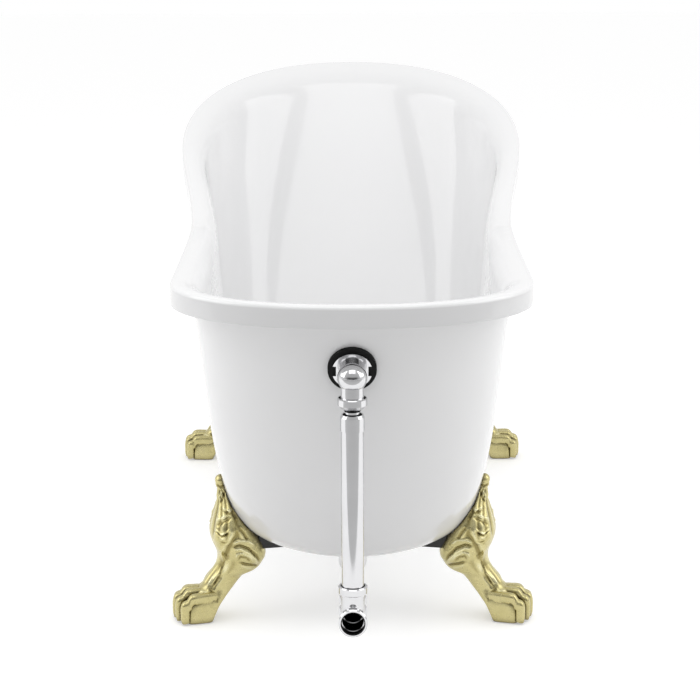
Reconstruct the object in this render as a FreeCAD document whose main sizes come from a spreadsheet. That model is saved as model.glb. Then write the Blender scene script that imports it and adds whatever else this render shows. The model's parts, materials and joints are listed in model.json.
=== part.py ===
"""Slipper bathtub on four claw legs, with its chrome overflow and waste.

The frame has Z up, Y along the tub with the foot end at -Y, and X across it.
The origin is on the floor under the middle of the tub. All sizes are in millimetres.
"""
import FreeCAD, Part
import math
import os

import Sketcher

from FreeCAD import Placement, Rotation, Vector

doc = FreeCAD.newDocument("bathtub")

# Driving dimensions: each becomes a cell of the sheet with its name as alias.
SIZES = {
    # rim, seen from above
    "tub_length": 1500.0,
    "foot_half_width": 287.0,
    "head_half_width": 340.0,
    "foot_corner": 210.0,
    "head_corner": 350.0,
    "rim_width": 45.0,
    "rim_band_height": 35.0,
    "rim_outer_round": 7.0,
    "rim_inner_round": 13.0,
    # rim line, seen from the side
    "foot_rim_height": 587.0,
    "slipper_rise": 222.0,
    # outer skin
    "skin_overhang": 34.0,
    "skin_wall": 4.0,
    "skin_bottom": 127.0,
    "skin_foot_edge": 205.0,
    "skin_head_edge": 230.0,
    "skin_foot_floor_half": 118.0,
    "skin_head_floor_half": 205.0,
    "bond_gap": 0.3,
    # basin
    "basin_wall": 6.0,
    "basin_floor_foot_edge": 245.0,
    "basin_floor_head_edge": 430.0,
    "basin_foot_floor_half": 120.0,
    "basin_head_floor_half": 165.0,
    # board between the two floors
    "board_thickness": 18.0,
    "board_margin": 12.0,
    "board_bed": 1.0,
    "seat_gap": 0.3,
    # brackets that carry the legs
    "bracket_width": 40.0,
    "bracket_thickness": 6.0,
    "bracket_reach": 116.0,
    "bracket_drop": 18.0,
    "bracket_rise": 44.0,
    "gusset_thickness": 6.0,
    "gusset_reach": 76.0,
    "gusset_rise": 60.0,
    "screw_radius": 3.0,
    "screw_head_radius": 6.0,
    "screw_head_height": 3.5,
    "screw_length": 24.0,
    "screw_spacing": 22.0,
    "screw_edge": 12.0,
    # legs
    "leg_spread_front": 227.0,
    "leg_spread_rear": 293.0,
    "leg_front_inset": 263.0,
    "leg_rear_inset": 298.0,
    "leg_splay": 12.0,
    "leg_height": 253.0,
    "leg_width": 96.0,
    "leg_reach": 69.0,
    "leg_seat": 69.0,
    "toe_width": 14.5,
    "toe_spacing": 12.6,
    "toe_fan": 5.0,
    "toe_height": 63.0,
    "bolt_radius": 4.0,
    "bolt_head_radius": 7.5,
    "bolt_head_height": 5.0,
    "bolt_length": 30.0,
    "bolt_rise": 9.0,
    "washer_radius": 8.0,
    "washer_thickness": 1.6,
    # waste pipes
    "pipe_radius": 17.5,
    "pipe_wall": 1.2,
    "waste_axis_height": 88.0,
    "fit_gap": 0.05,
    "body_radius": 18.6,
    "run_radius": 19.2,
    "socket_radius": 19.8,
    "socket_length": 10.0,
    "socket_depth": 9.0,
    "nut_radius": 22.8,
    "nut_length": 12.5,
    "nut_lip": 3.0,
    "nut_lip_gap": 1.6,
    "nut_edge": 1.5,
    "slip_washer": 2.5,
    "tee_arm": 26.0,
    "tee_top_height": 134.0,
    # overflow
    "overflow_height": 479.0,
    "overflow_gasket_radius": 37.5,
    "overflow_gasket_thickness": 7.0,
    "overflow_flange_radius": 30.5,
    "overflow_flange_thickness": 4.0,
    "flange_notch_width": 17.0,
    "flange_notch_depth": 6.0,
    "overflow_hole_radius": 29.0,
    "overflow_throat_radius": 16.0,
    "elbow_ball_radius": 22.6,
    "elbow_wall": 3.0,
    "elbow_neck_radius": 20.0,
    "elbow_tail": 43.0,
    "neck_length": 75.0,
    "neck_radius": 11.0,
    "neck_wall": 1.5,
    "elbow_nut_cone": 9.0,
    "collar_drop": 57.0,
    "collar_height": 25.0,
    "collar_wall": 1.2,
    "collar_bevel": 4.0,
    "collar_lip": 2.0,
    "collar_mouth": 15.0,
    "collar_lap": 15.0,
    "faceplate_radius": 38.0,
    "faceplate_thickness": 4.0,
    "faceplate_bevel": 2.0,
    "faceplate_seal": 6.0,
    "faceplate_hole_radius": 3.5,
    "faceplate_hole_ring": 12.0,
    "faceplate_screw_radius": 2.0,
    "faceplate_screw_head": 4.5,
    "faceplate_screw_ring": 25.0,
    # drain
    "drain_inset": 295.0,
    "drain_hole_radius": 22.5,
    "drain_barrel_radius": 21.0,
    "drain_bore_radius": 17.5,
    "drain_flange_radius": 35.0,
    "drain_flange_thickness": 3.5,
    "drain_flange_edge": 2.0,
    "drain_seat_radius": 25.5,
    "drain_seat_depth": 1.5,
    "drain_seal_thickness": 2.0,
    "drain_thread_length": 12.0,
    "spider_drop": 22.0,
    "spider_height": 5.0,
    "spider_rib": 3.0,
    "spider_hub_radius": 7.0,
    "shoe_radius": 24.0,
    "shoe_wall": 2.5,
    "shoe_flange_radius": 33.0,
    "shoe_flange_thickness": 5.0,
    "shoe_gasket_thickness": 4.0,
    "shoe_reach": 188.0,
    # stopper
    "stopper_radius": 24.0,
    "stopper_rim": 2.0,
    "stopper_dome": 4.0,
    "stopper_seal_thickness": 2.5,
    "stopper_seal_radius": 22.0,
    "stopper_stem_radius": 4.0,
    "stopper_stem_length": 40.0,
    # free run past a face, for cuts
    "overrun": 40.0,
}

sheet = doc.addObject("Spreadsheet::Sheet", "sizes")
cells = []


def add_cell(alias, content):
    """Adds a named cell to the sheet: a plain number, or a formula of other cells."""
    cells.append(alias)
    row = len(cells)
    sheet.set("A%d" % row, alias)
    sheet.set("B%d" % row, str(content))
    sheet.setAlias("B%d" % row, alias)


for name, value in SIZES.items():
    add_cell(name, value)
add_cell("drain_y", "=-tub_length / 2 + drain_inset")
add_cell("leg_front_y", "=-tub_length / 2 + leg_front_inset")
add_cell("leg_rear_y", "=tub_length / 2 - leg_rear_inset")
doc.recompute()


def size(alias):
    return float(sheet.get(alias))


# Shapes of the curves, as shares of the sizes they follow.
CORNER_POWER_SHARE = 2.2
HEAD_POWER_SHARE = 2.2
SIDE_SWELL_SHARE = 2.6
RISE_START_SHARE = 0.467
RISE_POWER_SHARE = 1.45
RISE_BULGE_SHARE = 0.25
# Wall profiles from the floor edge (0, 0) to the rim (1, 1): two Bezier handles each.
SKIN_FOOT_SHARES = ((0.40, 0.0), (0.54, 0.50))
SKIN_SIDE_SHARES = ((0.72, 0.0), (0.85, 0.28))
SKIN_HEAD_SHARES = ((0.58, 0.0), (0.80, 0.30))
BASIN_FOOT_SHARES = ((0.42, 0.0), (0.60, 0.36))
BASIN_SIDE_SHARES = ((0.66, 0.0), (0.80, 0.24))
BASIN_HEAD_SHARES = ((0.24, 0.0), (0.62, 0.52))
PROFILE_STEP_SHARES = (0.0, 0.15, 0.33, 0.52, 0.75, 1.0)
# Corner lengths of the floor ovals, as shares of the rim's corner lengths.
FLOOR_FOOT_CORNER_SHARE = 0.8
SKIN_FLOOR_HEAD_CORNER_SHARE = 0.9
BASIN_FLOOR_HEAD_CORNER_SHARE = 0.7
CORNER_STEPS = 4
SIDE_STEPS = 3


# Outline curves

def corner(angle, power_share):
    """Point of a rounded corner: share across and share along, from the end of the tub."""
    reach = 2.0 / power_share
    return math.sin(angle) ** reach, 1.0 - math.cos(angle) ** reach


def half_outline(foot_half, head_half, foot_y, head_y, foot_corner, head_corner):
    """Points of the right half of an oval, from the foot end to the head end."""
    points = []
    for step in range(CORNER_STEPS):
        across, along = corner(math.pi / 2 * step / CORNER_STEPS, CORNER_POWER_SHARE)
        points.append((foot_half * across, foot_y + foot_corner * along))
    side_start = foot_y + foot_corner
    side_end = head_y - head_corner
    for step in range(SIDE_STEPS + 1):
        way = step / SIDE_STEPS
        swell = way ** SIDE_SWELL_SHARE
        swell = swell * swell * (3 - 2 * swell)
        points.append((foot_half + (head_half - foot_half) * swell,
                       side_start + (side_end - side_start) * way))
    for step in range(CORNER_STEPS - 1, -1, -1):
        across, along = corner(math.pi / 2 * step / CORNER_STEPS, HEAD_POWER_SHARE)
        points.append((head_half * across, head_y - head_corner * along))
    return points


def rim_outline(inset):
    """Right half of the rim seen from above, drawn in by the inset."""
    half_length = size("tub_length") / 2
    return half_outline(
        size("foot_half_width") - inset, size("head_half_width") - inset,
        -half_length + inset, half_length - inset,
        size("foot_corner") - inset / 2, size("head_corner") - inset / 2)


def rim_height(y):
    """Height of the rim line: level at the foot, then rising to the slipper back."""
    way = (y + size("tub_length") / 2) / size("tub_length")
    rise = max(0.0, (way - RISE_START_SHARE) / (1 - RISE_START_SHARE))
    share = rise ** RISE_POWER_SHARE * (1 + RISE_BULGE_SHARE * rise * (1 - rise))
    return size("foot_rim_height") + size("slipper_rise") * share


def end_weights(index):
    """How much a point of the half outline belongs to the foot end and to the head end."""
    last = 2 * CORNER_STEPS + SIDE_STEPS
    foot = max(0.0, 1 - index / CORNER_STEPS)
    head = max(0.0, 1 - (last - index) / CORNER_STEPS)
    return (math.sin(math.pi / 2 * foot) ** 2, math.sin(math.pi / 2 * head) ** 2)


def bezier(way, handles):
    """Cubic curve from (0, 0) to (1, 1) with two handles."""
    near, far = handles
    back = 1 - way
    out = 3 * back * back * way * near[0] + 3 * back * way * way * far[0] + way ** 3
    rise = 3 * back * back * way * near[1] + 3 * back * way * way * far[1] + way ** 3
    return out, rise


def wall_point(way, index, shares):
    """Share out and share up of the wall at one step of its profile."""
    foot_shares, side_shares, head_shares = shares
    foot, head = end_weights(index)
    side = 1 - foot - head
    parts = [bezier(way, s) for s in (foot_shares, side_shares, head_shares)]
    weights = (foot, side, head)
    return (sum(w * p[0] for w, p in zip(weights, parts)),
            sum(w * p[1] for w, p in zip(weights, parts)))


def hull_point(top, floor, drop, floor_z, way, index, shares):
    """Point of a tub wall between its floor oval and its top oval."""
    out, rise = wall_point(way, index, shares)
    top_x, top_y = top[index]
    floor_x, floor_y = floor[index]
    top_z = rim_height(top_y) - drop
    return Vector(floor_x + (top_x - floor_x) * out,
                  floor_y + (top_y - floor_y) * out,
                  floor_z + (top_z - floor_z) * rise)


def ring_ways():
    """Places of the ring's points along the rim, from 0 round to 1 at the foot again."""
    points = rim_outline(0.0)
    steps = [math.dist(near, far) for near, far in zip(points, points[1:])]
    ways = [0.0]
    for step in steps + steps[::-1]:
        ways.append(ways[-1] + step)
    return [way / ways[-1] for way in ways]


def closed_ring(half):
    """Smooth closed wire through the points of a right half and their mirror images."""
    left = [Vector(-p.x, p.y, p.z) for p in half[-2:0:-1]]
    curve = Part.BSplineCurve()
    curve.interpolate(Points=half + left, Parameters=ring_ways(), PeriodicFlag=True)
    return Part.Wire([curve.toShape()])


def feature(name, shape):
    item = doc.addObject("Part::Feature", name)
    item.Shape = shape
    return item


def skin_ovals(grow):
    """Top and floor ovals of the outer skin, grown outwards."""
    half_length = size("tub_length") / 2
    top = rim_outline(size("skin_overhang") - grow)
    floor = half_outline(
        size("skin_foot_floor_half") + grow, size("skin_head_floor_half") + grow,
        -half_length + size("skin_foot_edge") - grow,
        half_length - size("skin_head_edge") + grow,
        size("foot_corner") * FLOOR_FOOT_CORNER_SHARE,
        size("head_corner") * SKIN_FLOOR_HEAD_CORNER_SHARE)
    return top, floor


def basin_ovals(grow):
    """Top and floor ovals of the basin's inside, grown outwards."""
    half_length = size("tub_length") / 2
    top = rim_outline(size("rim_width") - grow)
    floor = half_outline(
        size("basin_foot_floor_half") + grow, size("basin_head_floor_half") + grow,
        -half_length + size("basin_floor_foot_edge") - grow,
        half_length - size("basin_floor_head_edge") + grow,
        size("foot_corner") * FLOOR_FOOT_CORNER_SHARE,
        size("head_corner") * BASIN_FLOOR_HEAD_CORNER_SHARE)
    return top, floor


SKIN_SHARES = (SKIN_FOOT_SHARES, SKIN_SIDE_SHARES, SKIN_HEAD_SHARES)
BASIN_SHARES = (BASIN_FOOT_SHARES, BASIN_SIDE_SHARES, BASIN_HEAD_SHARES)


def hull(name, ovals, drop, floor_z, shares):
    """Closed solid under a tub wall, carried on past the rim to a level top."""
    top, floor = ovals
    ring_list = []
    for way in PROFILE_STEP_SHARES:
        half = [hull_point(top, floor, drop, floor_z, way, i, shares)
                for i in range(len(top))]
        ring_list.append(half)
    before = ring_list[-2]
    last = ring_list[-1]
    lid_z = size("foot_rim_height") + size("slipper_rise") + size("overrun")
    lid = []
    for low, high in zip(before, last):
        lean = (lid_z - high.z) / (high.z - low.z)
        lid.append(Vector(high.x + (high.x - low.x) * lean,
                          high.y + (high.y - low.y) * lean, lid_z))
    ring_list.append(lid)
    rings = [feature("%s_ring_%d" % (name, i), closed_ring(half))
             for i, half in enumerate(ring_list)]
    loft = doc.addObject("Part::Loft", name)
    loft.Sections = rings
    loft.Solid = True
    loft.Ruled = False
    loft.Closed = False
    return loft


def skin_hull(name, grow):
    return hull(name, skin_ovals(grow), size("rim_band_height"),
                size("skin_bottom") - grow, SKIN_SHARES)


def floor_top():
    """Height of the basin floor, worked up from the skin through the board."""
    return (size("skin_bottom") + size("skin_wall") + size("board_thickness")
            + size("bond_gap") + size("board_bed") + size("basin_wall"))


def basin_hull(name, grow):
    return hull(name, basin_ovals(grow), 0.0, floor_top() - grow, BASIN_SHARES)


# Operations on document objects

def boolean(kind, name, base, tool):
    item = doc.addObject("Part::" + kind, name)
    item.Base = base
    item.Tool = tool
    return item


def cut(name, base, tool):
    return boolean("Cut", name, base, tool)


def common(name, base, tool):
    return boolean("Common", name, base, tool)


def fuse(name, items):
    item = doc.addObject("Part::MultiFuse", name)
    item.Shapes = items
    return item


def bind(item, **expressions):
    for path, expression in expressions.items():
        item.setExpression(path.replace("__", "."), expression)
    return item


def place(item, x="0", y="0", z="0", turn=None):
    """Puts an item at a place given by expressions, turned by a rotation."""
    if turn is not None:
        item.Placement = Placement(Vector(0, 0, 0), turn)
    bind(item, Placement__Base__x=x, Placement__Base__y=y, Placement__Base__z=z)
    return item


def cylinder(name, radius, height, x="0", y="0", z="0", turn=None):
    item = doc.addObject("Part::Cylinder", name)
    bind(item, Radius=radius, Height=height)
    return place(item, x, y, z, turn)


def box(name, length, width, height, x="0", y="0", z="0", turn=None):
    item = doc.addObject("Part::Box", name)
    bind(item, Length=length, Width=width, Height=height)
    return place(item, x, y, z, turn)


def sphere(name, radius, x="0", y="0", z="0"):
    item = doc.addObject("Part::Sphere", name)
    bind(item, Radius=radius)
    return place(item, x, y, z)


TO_FOOT = Rotation(Vector(1, 0, 0), 90)
TO_HEAD = Rotation(Vector(1, 0, 0), -90)


# Shells

def plan_prism(name, inset):
    """Upright solid under the rim outline, drawn in by the inset."""
    half = [Vector(x, y, 0) for x, y in rim_outline(inset)]
    prism = doc.addObject("Part::Extrusion", name)
    prism.Base = feature(name + "_outline", closed_ring(half))
    prism.DirMode = "Custom"
    prism.Dir = Vector(0, 0, 1)
    prism.Solid = True
    reach = "sizes.foot_rim_height + sizes.slipper_rise + sizes.overrun"
    return bind(prism, LengthFwd=reach)


RIM_LINE_STEPS = 24


def under_rim(name, drop):
    """Solid block below the rim line lowered by the drop."""
    reach = size("tub_length") / 2 + size("overrun")
    half_width = size("head_half_width") + size("overrun")
    line = []
    for step in range(RIM_LINE_STEPS + 1):
        y = -reach + 2 * reach * step / RIM_LINE_STEPS
        line.append(Vector(-half_width, y, rim_height(y) - drop))
    top = Part.BSplineCurve()
    top.interpolate(Points=line)
    low_foot = Vector(-half_width, -reach, 0)
    low_head = Vector(-half_width, reach, 0)
    edges = [
        Part.LineSegment(low_foot, line[0]).toShape(),
        top.toShape(),
        Part.LineSegment(line[-1], low_head).toShape(),
        Part.LineSegment(low_head, low_foot).toShape(),
    ]
    block = doc.addObject("Part::Extrusion", name)
    block.Base = feature(name + "_side", Part.Wire(edges))
    block.DirMode = "Custom"
    block.Dir = Vector(1, 0, 0)
    block.Solid = True
    return bind(block, LengthFwd="2 * (sizes.head_half_width + sizes.overrun)")


def rim_edges(shape):
    """Numbers of the edges that run right round on the rim line, outermost first."""
    found = []
    for number, edge in enumerate(shape.Edges, start=1):
        middle = edge.valueAt((edge.FirstParameter + edge.LastParameter) / 2)
        on_line = abs(middle.z - rim_height(middle.y)) < size("rim_outer_round") / 2
        if on_line and edge.Length > 2 * size("tub_length"):
            found.append((edge.Length, number))
    return [number for length, number in sorted(found, reverse=True)]


def rounded(name, base, number, radius):
    item = doc.addObject("Part::Fillet", name)
    item.Base = base
    item.Edges = [(number, radius, radius)]
    return item


WALL_STEPS = 400
FIND_STEPS = 8


def wall_place(ovals, drop, floor_z, shares, height):
    """Place and lean of a wall on the centre line of the foot end at a height.

    Past the wall's top its last stretch runs on.
    """
    top, floor = ovals
    near = None
    for step in range(WALL_STEPS + 1):
        point = hull_point(top, floor, drop, floor_z, step / WALL_STEPS, 0, shares)
        if near is not None and (point.z >= height or step == WALL_STEPS):
            way = (height - near.z) / (point.z - near.z)
            y = near.y + (point.y - near.y) * way
            return y, math.degrees(math.atan2(near.y - point.y, point.z - near.z))
        near = point


skin_outer = skin_hull("skin_outer", 0.0)
skin_inner = skin_hull("skin_inner", -size("skin_wall"))
basin_outer = basin_hull("basin_outer", size("basin_wall"))
basin_inner = basin_hull("basin_inner", 0.0)

rim_top = under_rim("rim_top", 0.0)
band_under = under_rim("band_under", size("rim_band_height"))
skin_top = under_rim("skin_top", size("rim_band_height") + size("bond_gap"))

overflow_skin_y, overflow_lean = wall_place(
    skin_ovals(0.0), size("rim_band_height"), size("skin_bottom"), SKIN_SHARES,
    size("overflow_height"))
SKIN_SPOT = Vector(0, overflow_skin_y, size("overflow_height"))
OUTWARD = Rotation(Vector(1, 0, 0), 90 + overflow_lean)
INWARD = Rotation(Vector(1, 0, 0), overflow_lean - 90)


# The elbow's ball lies where the overflow's axis meets the pipe's axis.
PIPE_LINE_Y = (-size("tub_length") / 2 + size("tee_arm") + size("slip_washer")
               + size("nut_lip"))
ELBOW_REACH = (overflow_skin_y - PIPE_LINE_Y) / math.cos(math.radians(overflow_lean))
add_cell("elbow_reach", ELBOW_REACH)
add_cell("elbow_height", SKIN_SPOT.z - ELBOW_REACH * math.sin(math.radians(overflow_lean)))
doc.recompute()


def along_outward(distance):
    """Point on the overflow's axis, this far outwards from the skin."""
    return SKIN_SPOT + OUTWARD.multVec(Vector(0, 0, distance))


def aimed_cylinder(name, radius, height, distance, turn):
    """Cylinder on the overflow's axis, from a distance outwards of the skin."""
    item = doc.addObject("Part::Cylinder", name)
    bind(item, Radius=radius, Height=height)
    item.Placement = Placement(along_outward(distance), turn)
    return item


overflow_bore = aimed_cylinder("overflow_bore", "sizes.overflow_hole_radius",
                               "2 * sizes.overrun", -size("overrun"), OUTWARD)
drain_bore = cylinder("drain_bore", "sizes.drain_hole_radius", "sizes.overflow_height",
                      y="sizes.drain_y")
wall_bores = fuse("wall_bores", [overflow_bore, drain_bore])


def make_inner_shell():
    """Basin and rim in one moulding."""
    block = common("rim_block", plan_prism("rim_prism", 0.0), rim_top)
    moulded = cut("basin_moulded", block, cut("basin_outside", band_under, basin_outer))
    opened = cut("basin_opened", moulded, basin_inner)
    doc.recompute()
    outer = rounded("rim_outer_edge", opened, rim_edges(opened.Shape)[0],
                    size("rim_outer_round"))
    doc.recompute()
    inner = rounded("rim_inner_edge", outer, rim_edges(outer.Shape)[-1],
                    size("rim_inner_round"))
    return cut("inner_shell", inner, wall_bores)


def make_outer_shell(screw_holes):
    """Outer skin, bonded up to the underside of the rim."""
    wall = cut("skin_wall_part", common("skin_solid", skin_outer, skin_top), skin_inner)
    return cut("outer_shell", wall, fuse("skin_holes", [wall_bores] + screw_holes))


def board_outline():
    """Right half of the board: the skin's floor oval drawn in."""
    top, floor = skin_ovals(-size("skin_wall") - size("board_margin"))
    return [Vector(x, y, size("skin_bottom") + size("skin_wall") + size("bond_gap"))
            for x, y in floor]


def make_base_board(screw_holes):
    """Board between the floors, with the drain hole and the bracket screws' holes."""
    board = doc.addObject("Part::Extrusion", "board_block")
    board.Base = feature("board_outline", closed_ring(board_outline()))
    board.DirMode = "Custom"
    board.Dir = Vector(0, 0, 1)
    board.Solid = True
    bind(board, LengthFwd="sizes.board_thickness")
    return cut("base_board", board, fuse("board_holes", [drain_bore] + screw_holes))


# Turned pieces, each a revolved sketch

def turned(name, outline, x="0", y="0", z="0", turn=None):
    """Body of revolution: the outline lists radius and height expressions."""
    body = doc.addObject("PartDesign::Body", name)
    sketch = body.newObject("Sketcher::SketchObject", name + "_sketch")
    plane = [f for f in body.Origin.OriginFeatures if f.Role == "XZ_Plane"][0]
    sketch.AttachmentSupport = [(plane, "")]
    sketch.MapMode = "FlatFace"
    corners = [Vector(value_of(r), value_of(h), 0) for r, h in outline]
    count = len(outline)
    for i in range(count):
        sketch.addGeometry(Part.LineSegment(corners[i], corners[(i + 1) % count]))
    for i in range(count):
        sketch.addConstraint(Sketcher.Constraint("Coincident", i, 2, (i + 1) % count, 1))
    for i, (radius, height) in enumerate(outline):
        pin(sketch, "DistanceX", i, radius, corners[i].x)
        pin(sketch, "DistanceY", i, height, corners[i].y)
    spin = body.newObject("PartDesign::Revolution", name + "_spin")
    spin.Profile = sketch
    spin.ReferenceAxis = (sketch, ["V_Axis"])
    spin.Angle = 360.0
    return place(body, x, y, z, turn)


ORIGIN_POINT = (-1, 1)
VERTICAL_AXIS = -2
LEVEL_AXIS = -1


def pin(sketch, kind, line, expression, value):
    """Fixes a corner at a distance from the sketch's origin, or on its axis at zero."""
    if value == 0:
        axis = VERTICAL_AXIS if kind == "DistanceX" else LEVEL_AXIS
        sketch.addConstraint(Sketcher.Constraint("PointOnObject", line, 1, axis))
        return
    number = sketch.addConstraint(
        Sketcher.Constraint(kind, *ORIGIN_POINT, line, 1, value))
    sketch.setExpression("Constraints[%d]" % number, expression)


def value_of(expression):
    """Number that an expression on the sheet gives."""
    return float(sheet.evalExpression(expression))


def ring(name, inner, outer, height, x="0", y="0", z="0", turn=None):
    """Plain turned ring."""
    return turned(name, [(inner, "0"), (outer, "0"), (outer, height), (inner, height)],
                  x, y, z, turn)


WASTE_Z = "sizes.waste_axis_height"
PIPE_Y = "(-sizes.tub_length / 2 + sizes.tee_arm + sizes.slip_washer + sizes.nut_lip)"
PIPE_HOLE = "sizes.pipe_radius + sizes.fit_gap"
PIPE_BORE = "sizes.pipe_radius - sizes.pipe_wall"
RUN_BORE = PIPE_BORE + " + sizes.run_radius - sizes.body_radius"
LIP_HOLE = "sizes.pipe_radius + sizes.nut_lip_gap"
NUT_BACK = "(sizes.nut_length - sizes.nut_lip - sizes.slip_washer)"
SHOE_FACE_Y = "(sizes.drain_y - sizes.shoe_reach)"
FLOOR_TOP = ("(sizes.skin_bottom + sizes.skin_wall + sizes.board_thickness"
             " + sizes.bond_gap + sizes.board_bed + sizes.basin_wall)")


def slip_nut(name, x="0", y="0", z="0", turn=None):
    """Slip nut: a lip that holds the washer, bevelled edges, and room for the socket."""
    room = "sizes.socket_radius + sizes.fit_gap"
    outline = [
        (room, "0"),
        ("sizes.nut_radius - sizes.nut_edge", "0"),
        ("sizes.nut_radius", "sizes.nut_edge"),
        ("sizes.nut_radius", "sizes.nut_length - sizes.nut_edge"),
        ("sizes.nut_radius - sizes.nut_edge", "sizes.nut_length"),
        (LIP_HOLE, "sizes.nut_length"),
        (LIP_HOLE, "sizes.nut_length - sizes.nut_lip"),
        (room, "sizes.nut_length - sizes.nut_lip"),
    ]
    return turned(name, outline, x, y, z, turn)


def slip_washer(name, x="0", y="0", z="0", turn=None):
    """Stepped washer: its foot lies on the socket and its sleeve fills the nut's lip."""
    foot = "sizes.slip_washer"
    top = "sizes.slip_washer + sizes.nut_lip - sizes.nut_edge / 3"
    outline = [
        (PIPE_HOLE, "0"),
        ("sizes.socket_radius", "0"),
        ("sizes.socket_radius", foot),
        (LIP_HOLE + " - sizes.fit_gap", foot),
        (LIP_HOLE + " - sizes.fit_gap", top),
        (PIPE_HOLE, top),
    ]
    return turned(name, outline, x, y, z, turn)


def socket_parts(name, x, y, z, turn):
    """Socket ring and the bore that a pipe slides into, from its face inwards."""
    ring_part = cylinder(name + "_ring", "sizes.socket_radius", "sizes.socket_length",
                         x, y, z, turn)
    bore_part = cylinder(name + "_bore", PIPE_HOLE, "sizes.socket_depth", x, y, z, turn)
    return ring_part, bore_part


DOWN = Rotation(Vector(1, 0, 0), 180)


def make_waste_tee():
    """Tee with sockets to the top, the foot and the head."""
    arm = "sizes.tee_arm"
    foot_y = PIPE_Y + " - " + arm
    head_y = PIPE_Y + " + " + arm
    post = "sizes.tee_top_height - sizes.waste_axis_height"
    top_ring, top_bore = socket_parts("tee_top", "0", PIPE_Y, "sizes.tee_top_height", DOWN)
    foot_ring, foot_bore = socket_parts("tee_foot", "0", foot_y, WASTE_Z, TO_HEAD)
    head_ring, head_bore = socket_parts("tee_head", "0", head_y, WASTE_Z, TO_FOOT)
    outside = fuse("tee_outside", [
        cylinder("tee_post", "sizes.body_radius", post, y=PIPE_Y, z=WASTE_Z),
        cylinder("tee_run", "sizes.run_radius", "2 * " + arm, "0", foot_y, WASTE_Z, TO_HEAD),
        top_ring, foot_ring, head_ring])
    inside = fuse("tee_inside", [
        cylinder("tee_post_bore", PIPE_BORE, post, y=PIPE_Y, z=WASTE_Z),
        cylinder("tee_run_bore", RUN_BORE, "2 * " + arm, "0", foot_y, WASTE_Z, TO_HEAD),
        top_bore, foot_bore, head_bore])
    return cut("waste_tee", outside, inside)


def make_slip_joints():
    """The nut and washer of each slip joint."""
    foot_y = PIPE_Y + " - sizes.tee_arm"
    head_y = PIPE_Y + " + sizes.tee_arm"
    return [
        slip_nut("tee_top_nut", y=PIPE_Y, z="sizes.tee_top_height - " + NUT_BACK),
        slip_washer("tee_top_washer", y=PIPE_Y, z="sizes.tee_top_height"),
        slip_nut("outlet_nut", "0", foot_y + " + " + NUT_BACK, WASTE_Z, TO_FOOT),
        slip_washer("outlet_washer", "0", foot_y, WASTE_Z, TO_FOOT),
        slip_nut("tee_rear_nut", "0", head_y + " - " + NUT_BACK, WASTE_Z, TO_HEAD),
        slip_washer("tee_rear_washer", "0", head_y, WASTE_Z, TO_HEAD),
        slip_nut("shoe_nut", "0", SHOE_FACE_Y + " + " + NUT_BACK, WASTE_Z, TO_FOOT),
        slip_washer("shoe_nut_washer", "0", SHOE_FACE_Y, WASTE_Z, TO_FOOT),
    ]


def make_waste_pipe():
    start = PIPE_Y + " + sizes.tee_arm - sizes.socket_depth"
    length = (SHOE_FACE_Y + " + sizes.socket_depth - (" + start + ")")
    return ring("waste_pipe", PIPE_BORE, "sizes.pipe_radius", length,
                "0", start, WASTE_Z, TO_HEAD)


def make_shoe_elbow():
    """Drain shoe: flange under the skin, round body and a spigot to the foot."""
    top = "(sizes.skin_bottom - sizes.shoe_gasket_thickness)"
    post = top + " - sizes.waste_axis_height"
    bore = "sizes.drain_barrel_radius + sizes.fit_gap"
    hollow = "sizes.shoe_radius - sizes.shoe_wall"
    drain = "sizes.drain_y"
    face_ring, face_bore = socket_parts("shoe_face", "0", SHOE_FACE_Y, WASTE_Z, TO_HEAD)
    outside = fuse("shoe_outside", [
        cylinder("shoe_post", "sizes.shoe_radius", post, y=drain, z=WASTE_Z),
        sphere("shoe_round", "sizes.shoe_radius", y=drain, z=WASTE_Z),
        cylinder("shoe_flange", "sizes.shoe_flange_radius", "sizes.shoe_flange_thickness",
                 y=drain, z=top + " - sizes.shoe_flange_thickness"),
        cylinder("shoe_run", "sizes.body_radius", "sizes.shoe_reach",
                 "0", SHOE_FACE_Y, WASTE_Z, TO_HEAD),
        face_ring])
    inside = fuse("shoe_inside", [
        cylinder("shoe_post_bore", bore, post, y=drain, z=WASTE_Z),
        sphere("shoe_round_bore", hollow, y=drain, z=WASTE_Z),
        cylinder("shoe_run_bore", PIPE_BORE, "sizes.shoe_reach",
                 "0", SHOE_FACE_Y, WASTE_Z, TO_HEAD),
        face_bore])
    return cut("shoe_elbow", outside, inside)


def make_shoe_gasket():
    return ring("shoe_gasket", "sizes.drain_barrel_radius + sizes.fit_gap",
                "sizes.shoe_flange_radius", "sizes.shoe_gasket_thickness",
                y="sizes.drain_y", z="sizes.skin_bottom - sizes.shoe_gasket_thickness")


def make_drain_seal():
    return ring("drain_seal", "sizes.drain_barrel_radius + sizes.fit_gap",
                "sizes.drain_flange_radius - sizes.drain_flange_edge",
                "sizes.drain_seal_thickness", y="sizes.drain_y", z=FLOOR_TOP)


BARREL_FOOT = ("(sizes.skin_bottom - sizes.shoe_gasket_thickness"
               " - sizes.drain_thread_length)")
FLANGE_FOOT = "(" + FLOOR_TOP + " + sizes.drain_seal_thickness)"
SEAT_Z = ("(" + FLANGE_FOOT + " + sizes.drain_flange_thickness"
          " - sizes.drain_seat_depth)")


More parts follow.
